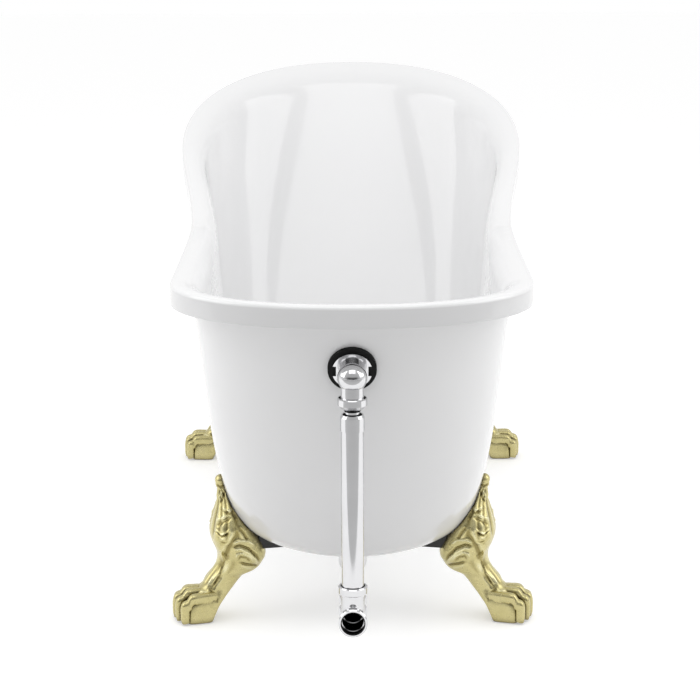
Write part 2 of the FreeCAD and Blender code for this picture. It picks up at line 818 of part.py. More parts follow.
def make_drain_flange():
    """Drain body: flange with a seat, threaded barrel, and a spider round the stem."""
    under = FLANGE_FOOT + " - " + BARREL_FOOT
    top = under + " + sizes.drain_flange_thickness"
    seat = top + " - sizes.drain_seat_depth"
    body = turned("drain_body", [
        ("sizes.drain_bore_radius", "0"),
        ("sizes.drain_barrel_radius", "0"),
        ("sizes.drain_barrel_radius", under),
        ("sizes.drain_flange_radius", under),
        ("sizes.drain_flange_radius", under + " + sizes.drain_flange_edge / 2"),
        ("sizes.drain_flange_radius - 2 * sizes.drain_flange_edge", top),
        ("sizes.drain_seat_radius", top),
        ("sizes.drain_seat_radius", seat),
        ("sizes.drain_bore_radius", seat),
    ], y="sizes.drain_y", z=BARREL_FOOT)
    spider_z = SEAT_Z + " - sizes.spider_drop"
    reach = "(sizes.drain_bore_radius + sizes.drain_barrel_radius)"
    spider = fuse("spider", [
        cylinder("spider_hub", "sizes.spider_hub_radius", "sizes.spider_height",
                 y="sizes.drain_y", z=spider_z),
        box("spider_rib_across", reach, "sizes.spider_rib", "sizes.spider_height",
            x="-" + reach + " / 2", y="sizes.drain_y - sizes.spider_rib / 2", z=spider_z),
        box("spider_rib_along", "sizes.spider_rib", reach, "sizes.spider_height",
            x="-sizes.spider_rib / 2", y="sizes.drain_y - " + reach + " / 2", z=spider_z)])
    stem_hole = cylinder("stem_hole", "sizes.stopper_stem_radius + sizes.fit_gap",
                         "sizes.spider_height", y="sizes.drain_y", z=spider_z)
    return cut("drain_flange", fuse("drain_solid", [body, spider]), stem_hole)


def make_stopper():
    """Cap, seal and stem, which rise together off the drain's seat."""
    cap_z = SEAT_Z + " + sizes.stopper_seal_thickness"
    cap = turned("stopper_cap", [
        ("0", "0"),
        ("sizes.stopper_radius", "0"),
        ("sizes.stopper_radius", "sizes.stopper_rim"),
        ("sizes.stopper_radius * 2 / 3", "sizes.stopper_rim + sizes.stopper_dome * 2 / 3"),
        ("0", "sizes.stopper_rim + sizes.stopper_dome"),
    ], y="sizes.drain_y", z=cap_z)
    seal = ring("stopper_seal", "sizes.stopper_stem_radius + sizes.fit_gap",
                "sizes.stopper_seal_radius", "sizes.stopper_seal_thickness",
                y="sizes.drain_y", z=SEAT_Z)
    stem = cylinder("stopper_stem", "sizes.stopper_stem_radius",
                    "sizes.stopper_stem_length", y="sizes.drain_y",
                    z=cap_z + " - sizes.stopper_stem_length")
    return [cap, seal, stem]


# Overflow

def aimed(item, distance, turn=None):
    """Puts an item on the overflow's axis, this far outwards from the skin."""
    for axis in "xyz":
        item.setExpression("Placement.Base." + axis, None)
    item.Placement = Placement(along_outward(distance), turn or OUTWARD)
    return item


def screw_spots(distance):
    """Places of the two faceplate screws, above and below the overflow's axis."""
    ring_radius = size("faceplate_screw_ring")
    return [along_outward(distance) + OUTWARD.multVec(Vector(0, side * ring_radius, 0))
            for side in (-1, 1)]


def screw_bores(name, start, reach):
    """Holes for the faceplate screws, from one distance on the axis to another."""
    bores = []
    for spot in screw_spots(start):
        bore = doc.addObject("Part::Cylinder", name)
        bind(bore, Radius="sizes.faceplate_screw_radius + sizes.fit_gap")
        bore.Height = reach - start
        bore.Placement = Placement(spot, OUTWARD)
        bores.append(bore)
    return bores


def plate_distance():
    """Distance on the overflow's axis from the skin to the basin's inner wall, below zero."""
    across = math.cos(math.radians(overflow_lean))
    drop = math.sin(math.radians(overflow_lean))
    distance = -size("rim_width")
    for turn in range(FIND_STEPS):
        height = size("overflow_height") - distance * drop
        wall_y, lean = wall_place(basin_ovals(0.0), 0.0, floor_top(), BASIN_SHARES, height)
        distance = (overflow_skin_y - wall_y) / across
    return distance


def make_overflow_gasket():
    """Rubber ring against the skin, its back shaped to the skin's curve."""
    depth = size("overflow_gasket_thickness") + size("overflow_gasket_radius") / 4
    blank = aimed(ring("gasket_blank", "sizes.overflow_throat_radius",
                       "sizes.overflow_gasket_radius",
                       "sizes.overflow_gasket_thickness + sizes.overflow_gasket_radius / 4"),
                  size("overflow_gasket_thickness") - depth)
    holes = screw_bores("gasket_screw_bore", -depth, depth)
    return cut("overflow_gasket", blank, fuse("gasket_cuts", [skin_clear] + holes))


def make_overflow_flange():
    """Chrome ring with a notch at each side, and the holes that the screws go into."""
    start = size("overflow_gasket_thickness")
    end = start + size("overflow_flange_thickness")
    blank = aimed(ring("flange_blank", "sizes.elbow_neck_radius + sizes.fit_gap",
                       "sizes.overflow_flange_radius",
                       "sizes.overflow_flange_thickness"), start)
    tools = screw_bores("flange_screw_bore", start, end - size("overflow_flange_thickness") / 4)
    for side in (-1, 1):
        notch = doc.addObject("Part::Box", "flange_notch")
        bind(notch, Length="2 * sizes.flange_notch_depth", Width="sizes.flange_notch_width",
             Height="3 * sizes.overflow_flange_thickness")
        start_x = side * size("overflow_flange_radius") - size("flange_notch_depth")
        corner_spot = Vector(start_x, -size("flange_notch_width") / 2,
                             start - size("overflow_flange_thickness"))
        notch.Placement = Placement(SKIN_SPOT + OUTWARD.multVec(corner_spot), OUTWARD)
        tools.append(notch)
    return cut("overflow_flange", blank, fuse("flange_cuts", tools))


def make_overflow_elbow():
    """Ball elbow: neck from the gasket, ball, tail into the nut, and a narrow neck tube."""
    height = "sizes.elbow_height"
    start = size("overflow_gasket_thickness")
    neck = aimed_cylinder("elbow_neck", "sizes.elbow_neck_radius",
                          "sizes.elbow_reach - sizes.overflow_gasket_thickness",
                          start, OUTWARD)
    throat = aimed_cylinder("elbow_throat", "sizes.overflow_throat_radius",
                            "sizes.elbow_reach", 0.0, OUTWARD)
    outside = fuse("elbow_outside", [
        neck,
        sphere("elbow_ball", "sizes.elbow_ball_radius", y=PIPE_Y, z=height),
        cylinder("elbow_tail", "sizes.pipe_radius", "sizes.elbow_tail", y=PIPE_Y,
                 z=height + " - sizes.elbow_tail"),
        cylinder("elbow_tube", "sizes.neck_radius", "sizes.neck_length", y=PIPE_Y,
                 z=height + " - sizes.neck_length")])
    inside = fuse("elbow_inside", [
        throat,
        sphere("elbow_ball_bore", "sizes.elbow_ball_radius - sizes.elbow_wall",
               y=PIPE_Y, z=height),
        cylinder("elbow_tube_bore", "sizes.neck_radius - sizes.neck_wall",
                 "sizes.neck_length", y=PIPE_Y, z=height + " - sizes.neck_length")])
    return cut("overflow_elbow", outside, inside)


def make_elbow_nut():
    """Nut under the elbow, drawn in to the neck tube below."""
    hole = "sizes.pipe_radius + sizes.fit_gap"
    throat = "sizes.neck_radius + sizes.fit_gap"
    cone = "sizes.elbow_nut_cone"
    top = "sizes.elbow_nut_cone + sizes.nut_length"
    outline = [
        (throat, "0"),
        (throat + " + sizes.neck_wall", "0"),
        ("sizes.nut_radius - sizes.nut_edge", cone),
        ("sizes.nut_radius", cone + " + sizes.nut_edge"),
        ("sizes.nut_radius", top + " - sizes.nut_edge"),
        ("sizes.nut_radius - sizes.nut_edge", top),
        (hole, top),
        (hole, cone),
        (throat, cone),
    ]
    return turned("elbow_nut", outline, y=PIPE_Y,
                  z="sizes.elbow_height - sizes.elbow_tail - sizes.elbow_nut_cone")


COLLAR_FOOT = "(sizes.elbow_height - sizes.collar_drop - sizes.collar_height)"


def make_pipe_collar():
    """Collar on top of the pipe, with a bevelled mouth round the neck tube."""
    outer = PIPE_HOLE + " + sizes.collar_wall"
    top = "sizes.collar_height"
    outline = [
        (PIPE_HOLE, "0"),
        (outer, "0"),
        (outer, top + " - sizes.collar_bevel"),
        (outer + " - sizes.collar_bevel / 2", top),
        ("sizes.collar_mouth", top),
        ("sizes.collar_mouth", top + " - sizes.collar_lip"),
        (PIPE_HOLE, top + " - sizes.collar_lip"),
    ]
    return turned("pipe_collar", outline, y=PIPE_Y, z=COLLAR_FOOT)


def make_collar_seal():
    """Rubber ring inside the collar, between the pipe's end and the collar's lip."""
    return ring("collar_seal", "sizes.neck_radius + sizes.fit_gap", "sizes.pipe_radius",
                "sizes.collar_height - sizes.collar_lip - sizes.collar_lap",
                y=PIPE_Y, z=COLLAR_FOOT + " + sizes.collar_lap")


def make_overflow_pipe():
    start = "(sizes.tee_top_height - sizes.socket_depth)"
    return ring("overflow_pipe", PIPE_BORE, "sizes.pipe_radius",
                COLLAR_FOOT + " + sizes.collar_lap - " + start, y=PIPE_Y, z=start)


def make_faceplate():
    """Overflow plate inside the basin, its seal and its two screws."""
    wall = plate_distance()
    back = wall - size("faceplate_seal")
    front = back - size("faceplate_thickness")
    plate_blank = aimed(turned("faceplate_blank", [
        ("0", "0"),
        ("sizes.faceplate_radius", "0"),
        ("sizes.faceplate_radius", "sizes.faceplate_thickness - sizes.faceplate_bevel"),
        ("sizes.faceplate_radius - sizes.faceplate_bevel", "sizes.faceplate_thickness"),
        ("0", "sizes.faceplate_thickness"),
    ]), back, INWARD)
    tools = screw_bores("faceplate_screw_bore", front, back)
    for step in range(FACEPLATE_HOLES):
        angle = 2 * math.pi * step / FACEPLATE_HOLES
        spot = Vector(math.cos(angle), math.sin(angle), 0) * size("faceplate_hole_ring")
        hole = doc.addObject("Part::Cylinder", "faceplate_hole")
        bind(hole, Radius="sizes.faceplate_hole_radius", Height="sizes.faceplate_thickness")
        hole.Placement = Placement(along_outward(front) + OUTWARD.multVec(spot), OUTWARD)
        tools.append(hole)
    plate = cut("overflow_faceplate", plate_blank, fuse("faceplate_cuts", tools))
    seal_blank = aimed(ring("plate_seal_blank",
                            "sizes.overflow_hole_radius - sizes.faceplate_bevel",
                            "sizes.faceplate_radius - sizes.faceplate_bevel",
                            "2 * sizes.faceplate_seal"), back)
    seal = common("overflow_plate_seal", seal_blank, basin_clear)
    screws = []
    end = size("overflow_gasket_thickness") + size("overflow_flange_thickness") / 2
    for spot in screw_spots(front):
        shank = doc.addObject("Part::Cylinder", "faceplate_screw_shank")
        bind(shank, Radius="sizes.faceplate_screw_radius")
        shank.Height = end - front
        shank.Placement = Placement(spot, OUTWARD)
        head = doc.addObject("Part::Sphere", "faceplate_screw_dome")
        bind(head, Radius="sizes.faceplate_screw_head")
        head.Placement = Placement(spot, INWARD)
        head.Angle1 = 0
        screws.append(fuse("faceplate_screw", [shank, head]))
    return plate, seal, group("faceplate_screws", screws)


def group(name, items):
    item = doc.addObject("Part::Compound", name)
    item.Links = items
    return item


# Legs

# Sections of the leg from its tip down to the sole. Each has its height as a share of
# the leg's height, then its inner edge, outer edge and half-width as shares of its width.
LEG_SHARES = (
    (1.000, -0.36, -0.115, 0.070),
    (0.960, -0.42, -0.063, 0.125),
    (0.909, -0.47, -0.073, 0.190),
    (0.846, -0.52, -0.083, 0.290),
    (0.783, -0.57, -0.031, 0.396),
    (0.690, -0.68, 0.052, 0.490),
    (0.600, -0.74, 0.042, 0.510),
    (0.530, -0.75, -0.042, 0.479),
    (0.470, -0.74, -0.083, 0.410),
    (0.415, -0.66, -0.060, 0.345),
    (0.365, -0.52, 0.040, 0.285),
    (0.320, -0.42, 0.115, 0.250),
    (0.249, -0.28, 0.220, 0.230),
    (0.190, -0.20, 0.290, 0.240),
    (0.110, -0.09, 0.370, 0.275),
    (0.000, 0.0, 0.420, 0.290),
)
# Roll under the knee: place out and up, then its three half sizes, as shares of the width.
SCROLL_SHARES = (-0.59, 1.16, 0.17, 0.17, 0.34)
# Joints of a toe from the paw to the claw's point: out (share of the leg's reach), up
# (share of the toe's height) and radius (share of the toe's width).
TOE_SHARES = (
    (0.22, 0.72, 0.66),
    (0.57, 0.79, 0.62),
    (0.81, 0.53, 0.66),
    (0.83, 0.24, 0.50),
    (0.80, 0.02, 0.30),
)
KNUCKLE_LINK_SHARE = 0.86
LEG_ROUND_SHARE = 2.3
TOE_COUNT = 4
RING_POINTS = 12
FACEPLATE_HOLES = 6


def oval_ring(centre, out, across, half_out, half_across, power_share):
    """Closed smooth ring round a centre, rounder or squarer by its power."""
    reach = 2.0 / power_share
    points = []
    for step in range(RING_POINTS):
        angle = 2 * math.pi * step / RING_POINTS
        cosine, sine = math.cos(angle), math.sin(angle)
        along = math.copysign(abs(cosine) ** reach, cosine) * half_out
        aside = math.copysign(abs(sine) ** reach, sine) * half_across
        points.append(centre + out * along + across * aside)
    curve = Part.BSplineCurve()
    curve.interpolate(Points=points, PeriodicFlag=True)
    return Part.Wire([curve.toShape()])


def lofted(name, wires):
    loft = doc.addObject("Part::Loft", name)
    loft.Sections = [feature("%s_ring_%d" % (name, i), wire) for i, wire in enumerate(wires)]
    loft.Solid = True
    loft.Ruled = False
    return loft


def make_leg_casting():
    """Claw leg in its own frame: X outwards from the heel, Z up from the sole."""
    width = size("leg_width")
    out, across = Vector(1, 0, 0), Vector(0, 1, 0)
    wires = []
    for up, inner, outer, half in LEG_SHARES:
        centre = Vector((inner + outer) / 2 * width, 0, up * size("leg_height"))
        wires.append(oval_ring(centre, out, across, (outer - inner) / 2 * width,
                               half * width, LEG_ROUND_SHARE))
    pieces = [lofted("leg_body", wires)]
    scroll_out, scroll_up, half_out, half_up, half_across = SCROLL_SHARES
    scroll = doc.addObject("Part::Ellipsoid", "leg_scroll")
    scroll.Radius1 = half_up * width
    scroll.Radius2 = half_out * width
    scroll.Radius3 = half_across * width
    scroll.Placement.Base = Vector(scroll_out * width, 0, scroll_up * width)
    pieces.append(scroll)
    for number in range(TOE_COUNT):
        pieces.append(make_toe(number))
    whole = fuse("leg_whole", pieces)
    seat = box("leg_seat_block", "sizes.overrun", "sizes.leg_width + 2 * sizes.overrun",
               "sizes.leg_height",
               x="-sizes.leg_seat - sizes.overrun", y="-sizes.leg_width / 2 - sizes.overrun",
               z=UPRIGHT_FOOT + " - sizes.seat_gap")
    sole = box("leg_sole_block", "4 * sizes.leg_width", "2 * sizes.leg_width",
               "sizes.overrun", x="-2 * sizes.leg_width", y="-sizes.leg_width",
               z="-sizes.overrun")
    bore = cylinder("leg_bolt_bore", BOLT_HOLE, "sizes.bolt_length",
                    x="-sizes.leg_seat", z=BOLT_Z, turn=OUTWARDS)
    return cut("leg_casting", whole, fuse("leg_cuts", [seat, sole, bore]))


def make_toe(number):
    """Toe with two knuckles and a claw, fanned out from the middle of the paw."""
    place_across = (number - (TOE_COUNT - 1) / 2) * size("toe_spacing")
    fan = math.radians((number - (TOE_COUNT - 1) / 2) * size("toe_fan"))
    out = Vector(math.cos(fan), math.sin(fan), 0)
    joints = []
    for along, up, radius in TOE_SHARES:
        spot = (Vector(0, place_across, 0) + out * along * size("leg_reach")
                + Vector(0, 0, up * size("toe_height")))
        joints.append((spot, radius * size("toe_width")))
    pieces = []
    for spot, radius in joints:
        knuckle = doc.addObject("Part::Sphere", "knuckle")
        knuckle.Radius = radius
        knuckle.Placement.Base = spot
        pieces.append(knuckle)
    for (near, near_radius), (far, far_radius) in zip(joints, joints[1:]):
        link = doc.addObject("Part::Cone", "toe_link")
        link.Radius1 = near_radius * KNUCKLE_LINK_SHARE
        link.Radius2 = far_radius * KNUCKLE_LINK_SHARE
        link.Height = near.distanceToPoint(far)
        link.Placement = Placement(near, Rotation(Vector(0, 0, 1), far - near))
        pieces.append(link)
    return fuse("toe_%d" % (number + 1), pieces)


OUTWARDS = Rotation(Vector(0, 1, 0), 90)
BRACKET_FOOT = "(sizes.skin_bottom - sizes.seat_gap - sizes.bracket_thickness)"
UPRIGHT_FOOT = "(" + BRACKET_FOOT + " - sizes.bracket_drop)"
BOLT_HOLE = "sizes.bolt_radius + sizes.fit_gap"
BOLT_Z = "(" + UPRIGHT_FOOT + " + sizes.bolt_rise)"
SCREW_HOLE = "sizes.screw_radius + sizes.fit_gap"
SCREW_X = "-sizes.leg_seat - sizes.bracket_reach + sizes.screw_edge"


def make_bracket_blank():
    """Bracket in the leg's frame: foot plate, upright plate and two gussets."""
    half = "sizes.bracket_width / 2"
    pieces = [
        box("bracket_foot", "sizes.bracket_reach", "sizes.bracket_width",
            "sizes.bracket_thickness", x="-sizes.leg_seat - sizes.bracket_reach",
            y="-" + half, z=BRACKET_FOOT),
        box("bracket_upright", "sizes.bracket_thickness", "sizes.bracket_width",
            "sizes.bracket_rise", x="-sizes.leg_seat - sizes.bracket_thickness",
            y="-" + half, z=UPRIGHT_FOOT),
    ]
    for y in ("-" + half, half + " - sizes.gusset_thickness"):
        pieces.append(box("bracket_gusset", "sizes.gusset_reach", "sizes.gusset_thickness",
                          "sizes.gusset_rise", x="-sizes.leg_seat - sizes.gusset_reach",
                          y=y, z=BRACKET_FOOT))
    bores = [cylinder("bracket_bolt_bore", BOLT_HOLE, "2 * sizes.overrun",
                      x="-sizes.leg_seat - sizes.overrun", z=BOLT_Z, turn=OUTWARDS)]
    for side in ("", "-"):
        bores.append(cylinder("bracket_screw_bore", SCREW_HOLE, "sizes.overrun",
                              x=SCREW_X, y=side + "sizes.screw_spacing / 2",
                              z=BRACKET_FOOT + " - sizes.overrun / 2"))
    return cut("bracket_blank", fuse("bracket_pieces", pieces),
               fuse("bracket_bores", bores))


def make_bolt_blanks():
    """Bolt and washer of one leg, in the leg's frame."""
    head_x = "-sizes.leg_seat - sizes.bracket_thickness - sizes.washer_thickness"
    head = doc.addObject("Part::Prism", "bolt_head")
    head.Polygon = 6
    bind(head, Circumradius="sizes.bolt_head_radius", Height="sizes.bolt_head_height")
    place(head, head_x + " - sizes.bolt_head_height", "0", BOLT_Z, OUTWARDS)
    shank = cylinder("bolt_shank", "sizes.bolt_radius", "sizes.bolt_length",
                     head_x, "0", BOLT_Z, OUTWARDS)
    washer = ring("bolt_washer", BOLT_HOLE, "sizes.washer_radius",
                  "sizes.washer_thickness", head_x, "0", BOLT_Z, OUTWARDS)
    return fuse("bolt", [head, shank]), group("bolt_washer_group", [washer])


def make_screw_blanks():
    """Screws of one bracket, up through the skin into the board, in the leg's frame."""
    screws = []
    holes = []
    head_z = BRACKET_FOOT + " - sizes.screw_head_height"
    for side in ("", "-"):
        y = side + "sizes.screw_spacing / 2"
        head = cylinder("screw_head", "sizes.screw_head_radius", "sizes.screw_head_height",
                        SCREW_X, y, head_z)
        shank = cylinder("screw_shank", "sizes.screw_radius",
                         "sizes.screw_length + sizes.screw_head_height", SCREW_X, y, head_z)
        screws.append(fuse("screw", [head, shank]))
        holes.append(cylinder("screw_hole", SCREW_HOLE, "sizes.screw_length",
                              SCREW_X, y, BRACKET_FOOT))
    return group("screw_pair", screws), group("hole_pair", holes)


def leg_frame(spread, y, splay):
    """Placement of a right leg's frame on the tub."""
    return Placement(Vector(size(spread), size(y), 0), Rotation(Vector(0, 0, 1), splay))


LEG_FRAMES = {
    "front": leg_frame("leg_spread_front", "leg_front_y", -size("leg_splay")),
    "rear": leg_frame("leg_spread_rear", "leg_rear_y", size("leg_splay")),
}


def moved(name, source, frame):
    """Copy of a piece made in the leg's frame, placed on the tub."""
    item = feature(name, source.Shape)
    item.Placement = frame
    return item


def mirrored(name, source):
    item = doc.addObject("Part::Mirroring", name)
    item.Source = source
    item.Normal = Vector(1, 0, 0)
    return item


def on_all_legs(name, source):
    """The same fasteners at each leg, as one group."""
    items = []
    for end, frame in LEG_FRAMES.items():
        right = moved("%s_%s" % (name, end), source, frame)
        items += [right, mirrored("%s_%s_left" % (name, end), right)]
    return items


def make_legs(casting, bracket_blank):
    """Leg and bracket on the right side, front and rear, and their mirror images."""
    pieces = []
    for end, frame in LEG_FRAMES.items():
        body = moved("leg_body_" + end, casting, frame)
        leg = cut("leg_%s_right" % end, body, skin_clear)
        bracket = cut("leg_bracket_%s_right" % end,
                      moved("bracket_" + end, bracket_blank, frame), skin_clear)
        for right in (leg, bracket):
            pieces += [right, mirrored(right.Name.replace("_right", "_left"), right)]
    return pieces


skin_clear = skin_hull("skin_clear", size("seat_gap"))
basin_clear = basin_hull("basin_clear", -size("seat_gap"))

leg_casting = make_leg_casting()
bracket_blank = make_bracket_blank()
bolt, bolt_washer = make_bolt_blanks()
screw_pair, hole_pair = make_screw_blanks()
doc.recompute()

leg_pieces = make_legs(leg_casting, bracket_blank)
screw_holes = on_all_legs("skin_screw_hole", hole_pair)
faceplate, plate_seal, faceplate_screws = make_faceplate()

parts = [
    make_inner_shell(),
    make_outer_shell(screw_holes),
    make_base_board(screw_holes),
    *leg_pieces,
    group("leg_bolts", on_all_legs("bolts", bolt)),
    group("leg_washers", on_all_legs("washers", bolt_washer)),
    group("frame_screws", on_all_legs("screws", screw_pair)),
    faceplate,
    plate_seal,
    faceplate_screws,
    make_overflow_gasket(),
    make_overflow_flange(),
    make_overflow_elbow(),
    make_elbow_nut(),
    make_pipe_collar(),
    make_collar_seal(),
    make_overflow_pipe(),
    make_waste_tee(),
    *make_slip_joints(),
    make_waste_pipe(),
    make_shoe_elbow(),
    make_shoe_gasket(),
    make_drain_seal(),
    make_drain_flange(),
    *make_stopper(),
]

doc.recompute()
for item in doc.Objects:
    if "Invalid" in item.State or "Error" in item.State:
        raise RuntimeError("%s failed: %s" % (item.Label, item.State))
os.makedirs("parts", exist_ok=True)
for item in parts:
    shape = item.Shape
    if shape.isNull() or not shape.isValid() or shape.Volume <= 0:
        raise RuntimeError("%s has no valid shape" % item.Label)
    shape.exportStep("parts/%s.step" % item.Label)
    print("%-26s %2d solids %12.1f mm3" % (item.Label, len(shape.Solids), shape.Volume))
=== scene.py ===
"""Slipper bathtub on claw legs, dressed for its picture.

Lengths are in metres in the frame's own axes: Z up, Y towards the slipper back, X across.
"""
import functools
import json
import math

import bmesh
import bpy
from mathutils import Matrix, Vector
from mathutils.bvhtree import BVHTree


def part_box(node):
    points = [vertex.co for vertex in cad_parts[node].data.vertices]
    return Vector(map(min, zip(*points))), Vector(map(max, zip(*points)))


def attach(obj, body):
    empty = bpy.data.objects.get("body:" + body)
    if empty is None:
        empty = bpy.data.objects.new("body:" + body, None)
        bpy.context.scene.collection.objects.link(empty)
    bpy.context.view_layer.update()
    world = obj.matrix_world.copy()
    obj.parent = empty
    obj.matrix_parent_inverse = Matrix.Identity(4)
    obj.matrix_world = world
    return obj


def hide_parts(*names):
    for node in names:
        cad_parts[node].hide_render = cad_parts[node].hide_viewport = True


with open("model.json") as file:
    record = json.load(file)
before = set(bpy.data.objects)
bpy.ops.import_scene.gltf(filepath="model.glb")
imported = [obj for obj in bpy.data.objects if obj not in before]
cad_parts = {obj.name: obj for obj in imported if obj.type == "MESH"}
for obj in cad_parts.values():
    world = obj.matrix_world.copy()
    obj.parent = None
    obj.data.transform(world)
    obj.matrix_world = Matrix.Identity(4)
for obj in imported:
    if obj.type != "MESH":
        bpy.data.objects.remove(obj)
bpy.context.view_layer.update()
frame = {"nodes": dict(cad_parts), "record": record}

MM = 0.001

# Sizes of the tub, read from the frame's boxes or the same as in the solids, apart from the
# rim's roll into the basin, which is deeper here
RIM_LOW, RIM_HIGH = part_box("inner_shell")
HALF_LENGTH = (RIM_HIGH.y - RIM_LOW.y) / 2
HEAD_HALF = RIM_HIGH.x
FOOT_HALF = 287 * MM
FOOT_CORNER = 210 * MM
HEAD_CORNER = 350 * MM
FOOT_RIM_HEIGHT = 587 * MM
SLIPPER_RISE = 222 * MM
RIM_WIDTH = 45 * MM
BAND_HEIGHT = 35 * MM
RIM_OUTER_ROUND = 7 * MM
RIM_ROLL_DROP = 42 * MM
RIM_ROLL_INSET = 8 * MM
BAND_EDGE = 1.5 * MM
SKIN_OVERHANG = 34 * MM
SKIN_WALL = 4 * MM
SKIN_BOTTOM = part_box("outer_shell")[0].z
BOND_GAP = 0.3 * MM
BASIN_WALL = 6 * MM
BASIN_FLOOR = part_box("drain_seal")[0].z
OVERFLOW_HEIGHT = 479 * MM
OVERFLOW_HOLE = 29 * MM
DRAIN_HOLE = 22.5 * MM

# Floor ovals: half width at the foot and at the head, then how far in the two ends lie
SKIN_FLOOR = (118 * MM, 205 * MM, 205 * MM, 230 * MM)
BASIN_FLOOR_OVAL = (120 * MM, 165 * MM, 245 * MM, 430 * MM)

# Shapes of the curves, as shares of the sizes they follow
CORNER_POWER = 2.2
SIDE_SWELL = 2.6
RISE_START = 0.467
RISE_POWER = 1.45
RISE_BULGE = 0.25
FLOOR_FOOT_CORNER = 0.8
SKIN_FLOOR_HEAD_CORNER = 0.9
BASIN_FLOOR_HEAD_CORNER = 0.7
# Shares of half the way round where the foot's corner ends and the head's corner starts
FOOT_SPAN = 0.27
HEAD_SPAN = 0.73
# Handles of the walls' profiles at the foot, the side and the head: share out, share up
SKIN_HANDLES = (((0.40, 0.0), (0.54, 0.50)), ((0.70, 0.0), (0.78, 0.29)),
                ((0.58, 0.0), (0.80, 0.30)))
BASIN_HANDLES = (((0.42, 0.0), (0.60, 0.36)), ((0.66, 0.0), (0.80, 0.24)),
                 ((0.24, 0.0), (0.62, 0.52)))

# Mesh of the shells: columns round them, then the rows of each stage of their profiles
TUB_COLUMNS = 216
# floor, wall, the rim's roll and outer round, the band, its edge and underside, and the backs
# of the wall and the floor
BASIN_ROWS = (6, 56, 12, 6, 5, 3, 3, 30, 3)
# floor, wall, top edge, wall's back, floor's back
SKIN_ROWS = (5, 60, 1, 30, 4)
# The rows between which the band and its edge lie
BAND_ROWS = (sum(BASIN_ROWS[:4]) - 0.5, sum(BASIN_ROWS[:6]) + 0.5)
ROW_SLACK = 1e-6
WELD_GAP = 0.002 * MM

# Edges sharper than this many degrees aren't smoothed
SHELL_ANGLE = 50
LEG_ANGLE = 60

# Attribute that takes a mesh's relief to its material, and the band's mark in it for painted
# shade
RELIEF_AND_SHADE_MARK = "relief"
BAND_SHADE_MARK = -1.0


# Small helpers


def blend(low, high, way):
    return low + (high - low) * way


def smooth_step(low, high, value):
    way = min(1.0, max(0.0, (value - low) / (high - low)))
    return way * way * (3 - 2 * way)


def halved(low, high, turns, too_low):
    """Closes in on the value where too_low(value) turns false."""
    for turn in range(turns):
        middle = (low + high) / 2
        if too_low(middle):
            low = middle
        else:
            high = middle
    return high


def squared_off(value, power):
    """Sine or cosine of an oval that grows boxier with its power."""
    return math.copysign(abs(value) ** (2.0 / power), value)


def linked_object(name, bm):
    """Object in the scene made of a bmesh, which it uses up."""
    mesh = bpy.data.meshes.new(name)
    bm.to_mesh(mesh)
    bm.free()
    obj = bpy.data.objects.new(name, mesh)
    bpy.context.scene.collection.objects.link(obj)
    return obj


def new_piece(name, bm, slot, smooth_angle):
    """Turns a bmesh into a finished object that rides on the root body."""
    obj = linked_object(name, bm)
    dress(obj, slot, smooth_angle)
    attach(obj, "root")
    return obj


def dress(obj, slot, smooth_angle):
    """Material, slot and smooth shading up to an angle."""
    obj.data.materials.clear()
    obj.data.materials.append(MATERIALS[slot])
    obj.data.shade_smooth()
    obj.data.set_sharp_from_angle(angle=math.radians(smooth_angle))


def surface(columns, rows, place, relief=None):
    """Grid wrapped into a closed form: place(round, along) gives each point.

    relief(round, along) gives the height of its carving or a mark for painted shade, which its
    material reads.
    """
    bm = bmesh.new()
    bmesh.ops.create_grid(bm, x_segments=columns, y_segments=rows, size=0.5)
    layer = bm.verts.layers.float.new(RELIEF_AND_SHADE_MARK)
    for vertex in bm.verts:
        round_way, along = vertex.co.x + 0.5, vertex.co.y + 0.5
        vertex.co = place(round_way, along)
        vertex[layer] = relief(round_way, along) if relief else 0.0
    bmesh.ops.remove_doubles(bm, verts=bm.verts, dist=WELD_GAP)
    bmesh.ops.recalc_face_normals(bm, faces=bm.faces)
    return bm


def join(target, source):
    """Adds one bmesh to another."""
    mesh = bpy.data.meshes.new("joined")
    source.to_mesh(mesh)
    source.free()
    target.from_mesh(mesh)
    bpy.data.meshes.remove(mesh)


def cut(obj, tools):
    """Cuts loose tool objects out of a finished object and deletes them."""
    for tool in tools:
        step = obj.modifiers.new("carve", "BOOLEAN")
        step.operation = "DIFFERENCE"
        step.solver = "EXACT"
        step.object = tool
    graph = bpy.context.evaluated_depsgraph_get()
    mesh = bpy.data.meshes.new_from_object(obj.evaluated_get(graph))
    obj.modifiers.clear()
    obj.data = mesh
    for tool in tools:
        bpy.data.objects.remove(tool)


# Shader maths

# The Mix node's colour sockets, whose names its number sockets share
MIX_LOW = 6
MIX_HIGH = 7
MIX_RESULT = 2


class Wire:
    """A node socket whose maths is written as plain expressions."""

    def __init__(self, tree, socket):
        self.tree = tree
        self.socket = socket

    def math(self, operation, other):
        node = self.tree.nodes.new("ShaderNodeMath")
        node.operation = operation
        plug(node.inputs[0], self)
        plug(node.inputs[1], other)
        return Wire(self.tree, node.outputs[0])

    def span(self, low, high, new_low, new_high, settings=None):
        """Takes the values from low to high over to those from new_low to new_high."""
        made = self.tree.nodes.new("ShaderNodeMapRange")
        for key, value in (settings or {}).items():
            setattr(made, key, value)
        plug(made.inputs["Value"], self)
        for slot, number in zip(("From Min", "From Max", "To Min", "To Max"),
                                (low, high, new_low, new_high)):
            made.inputs[slot].default_value = number
        return Wire(self.tree, made.outputs[0])

    def __add__(self, other):
        return self.math("ADD", other)

    def __mul__(self, other):
        return self.math("MULTIPLY", other)

    def __rsub__(self, other):
        return (self * -1.0).math("ADD", other)


def plug(slot, value):
    """Links a wire to a socket, or sets the socket to a plain value."""
    if isinstance(value, Wire):
        value.tree.links.new(value.socket, slot)
    else:
        slot.default_value = value


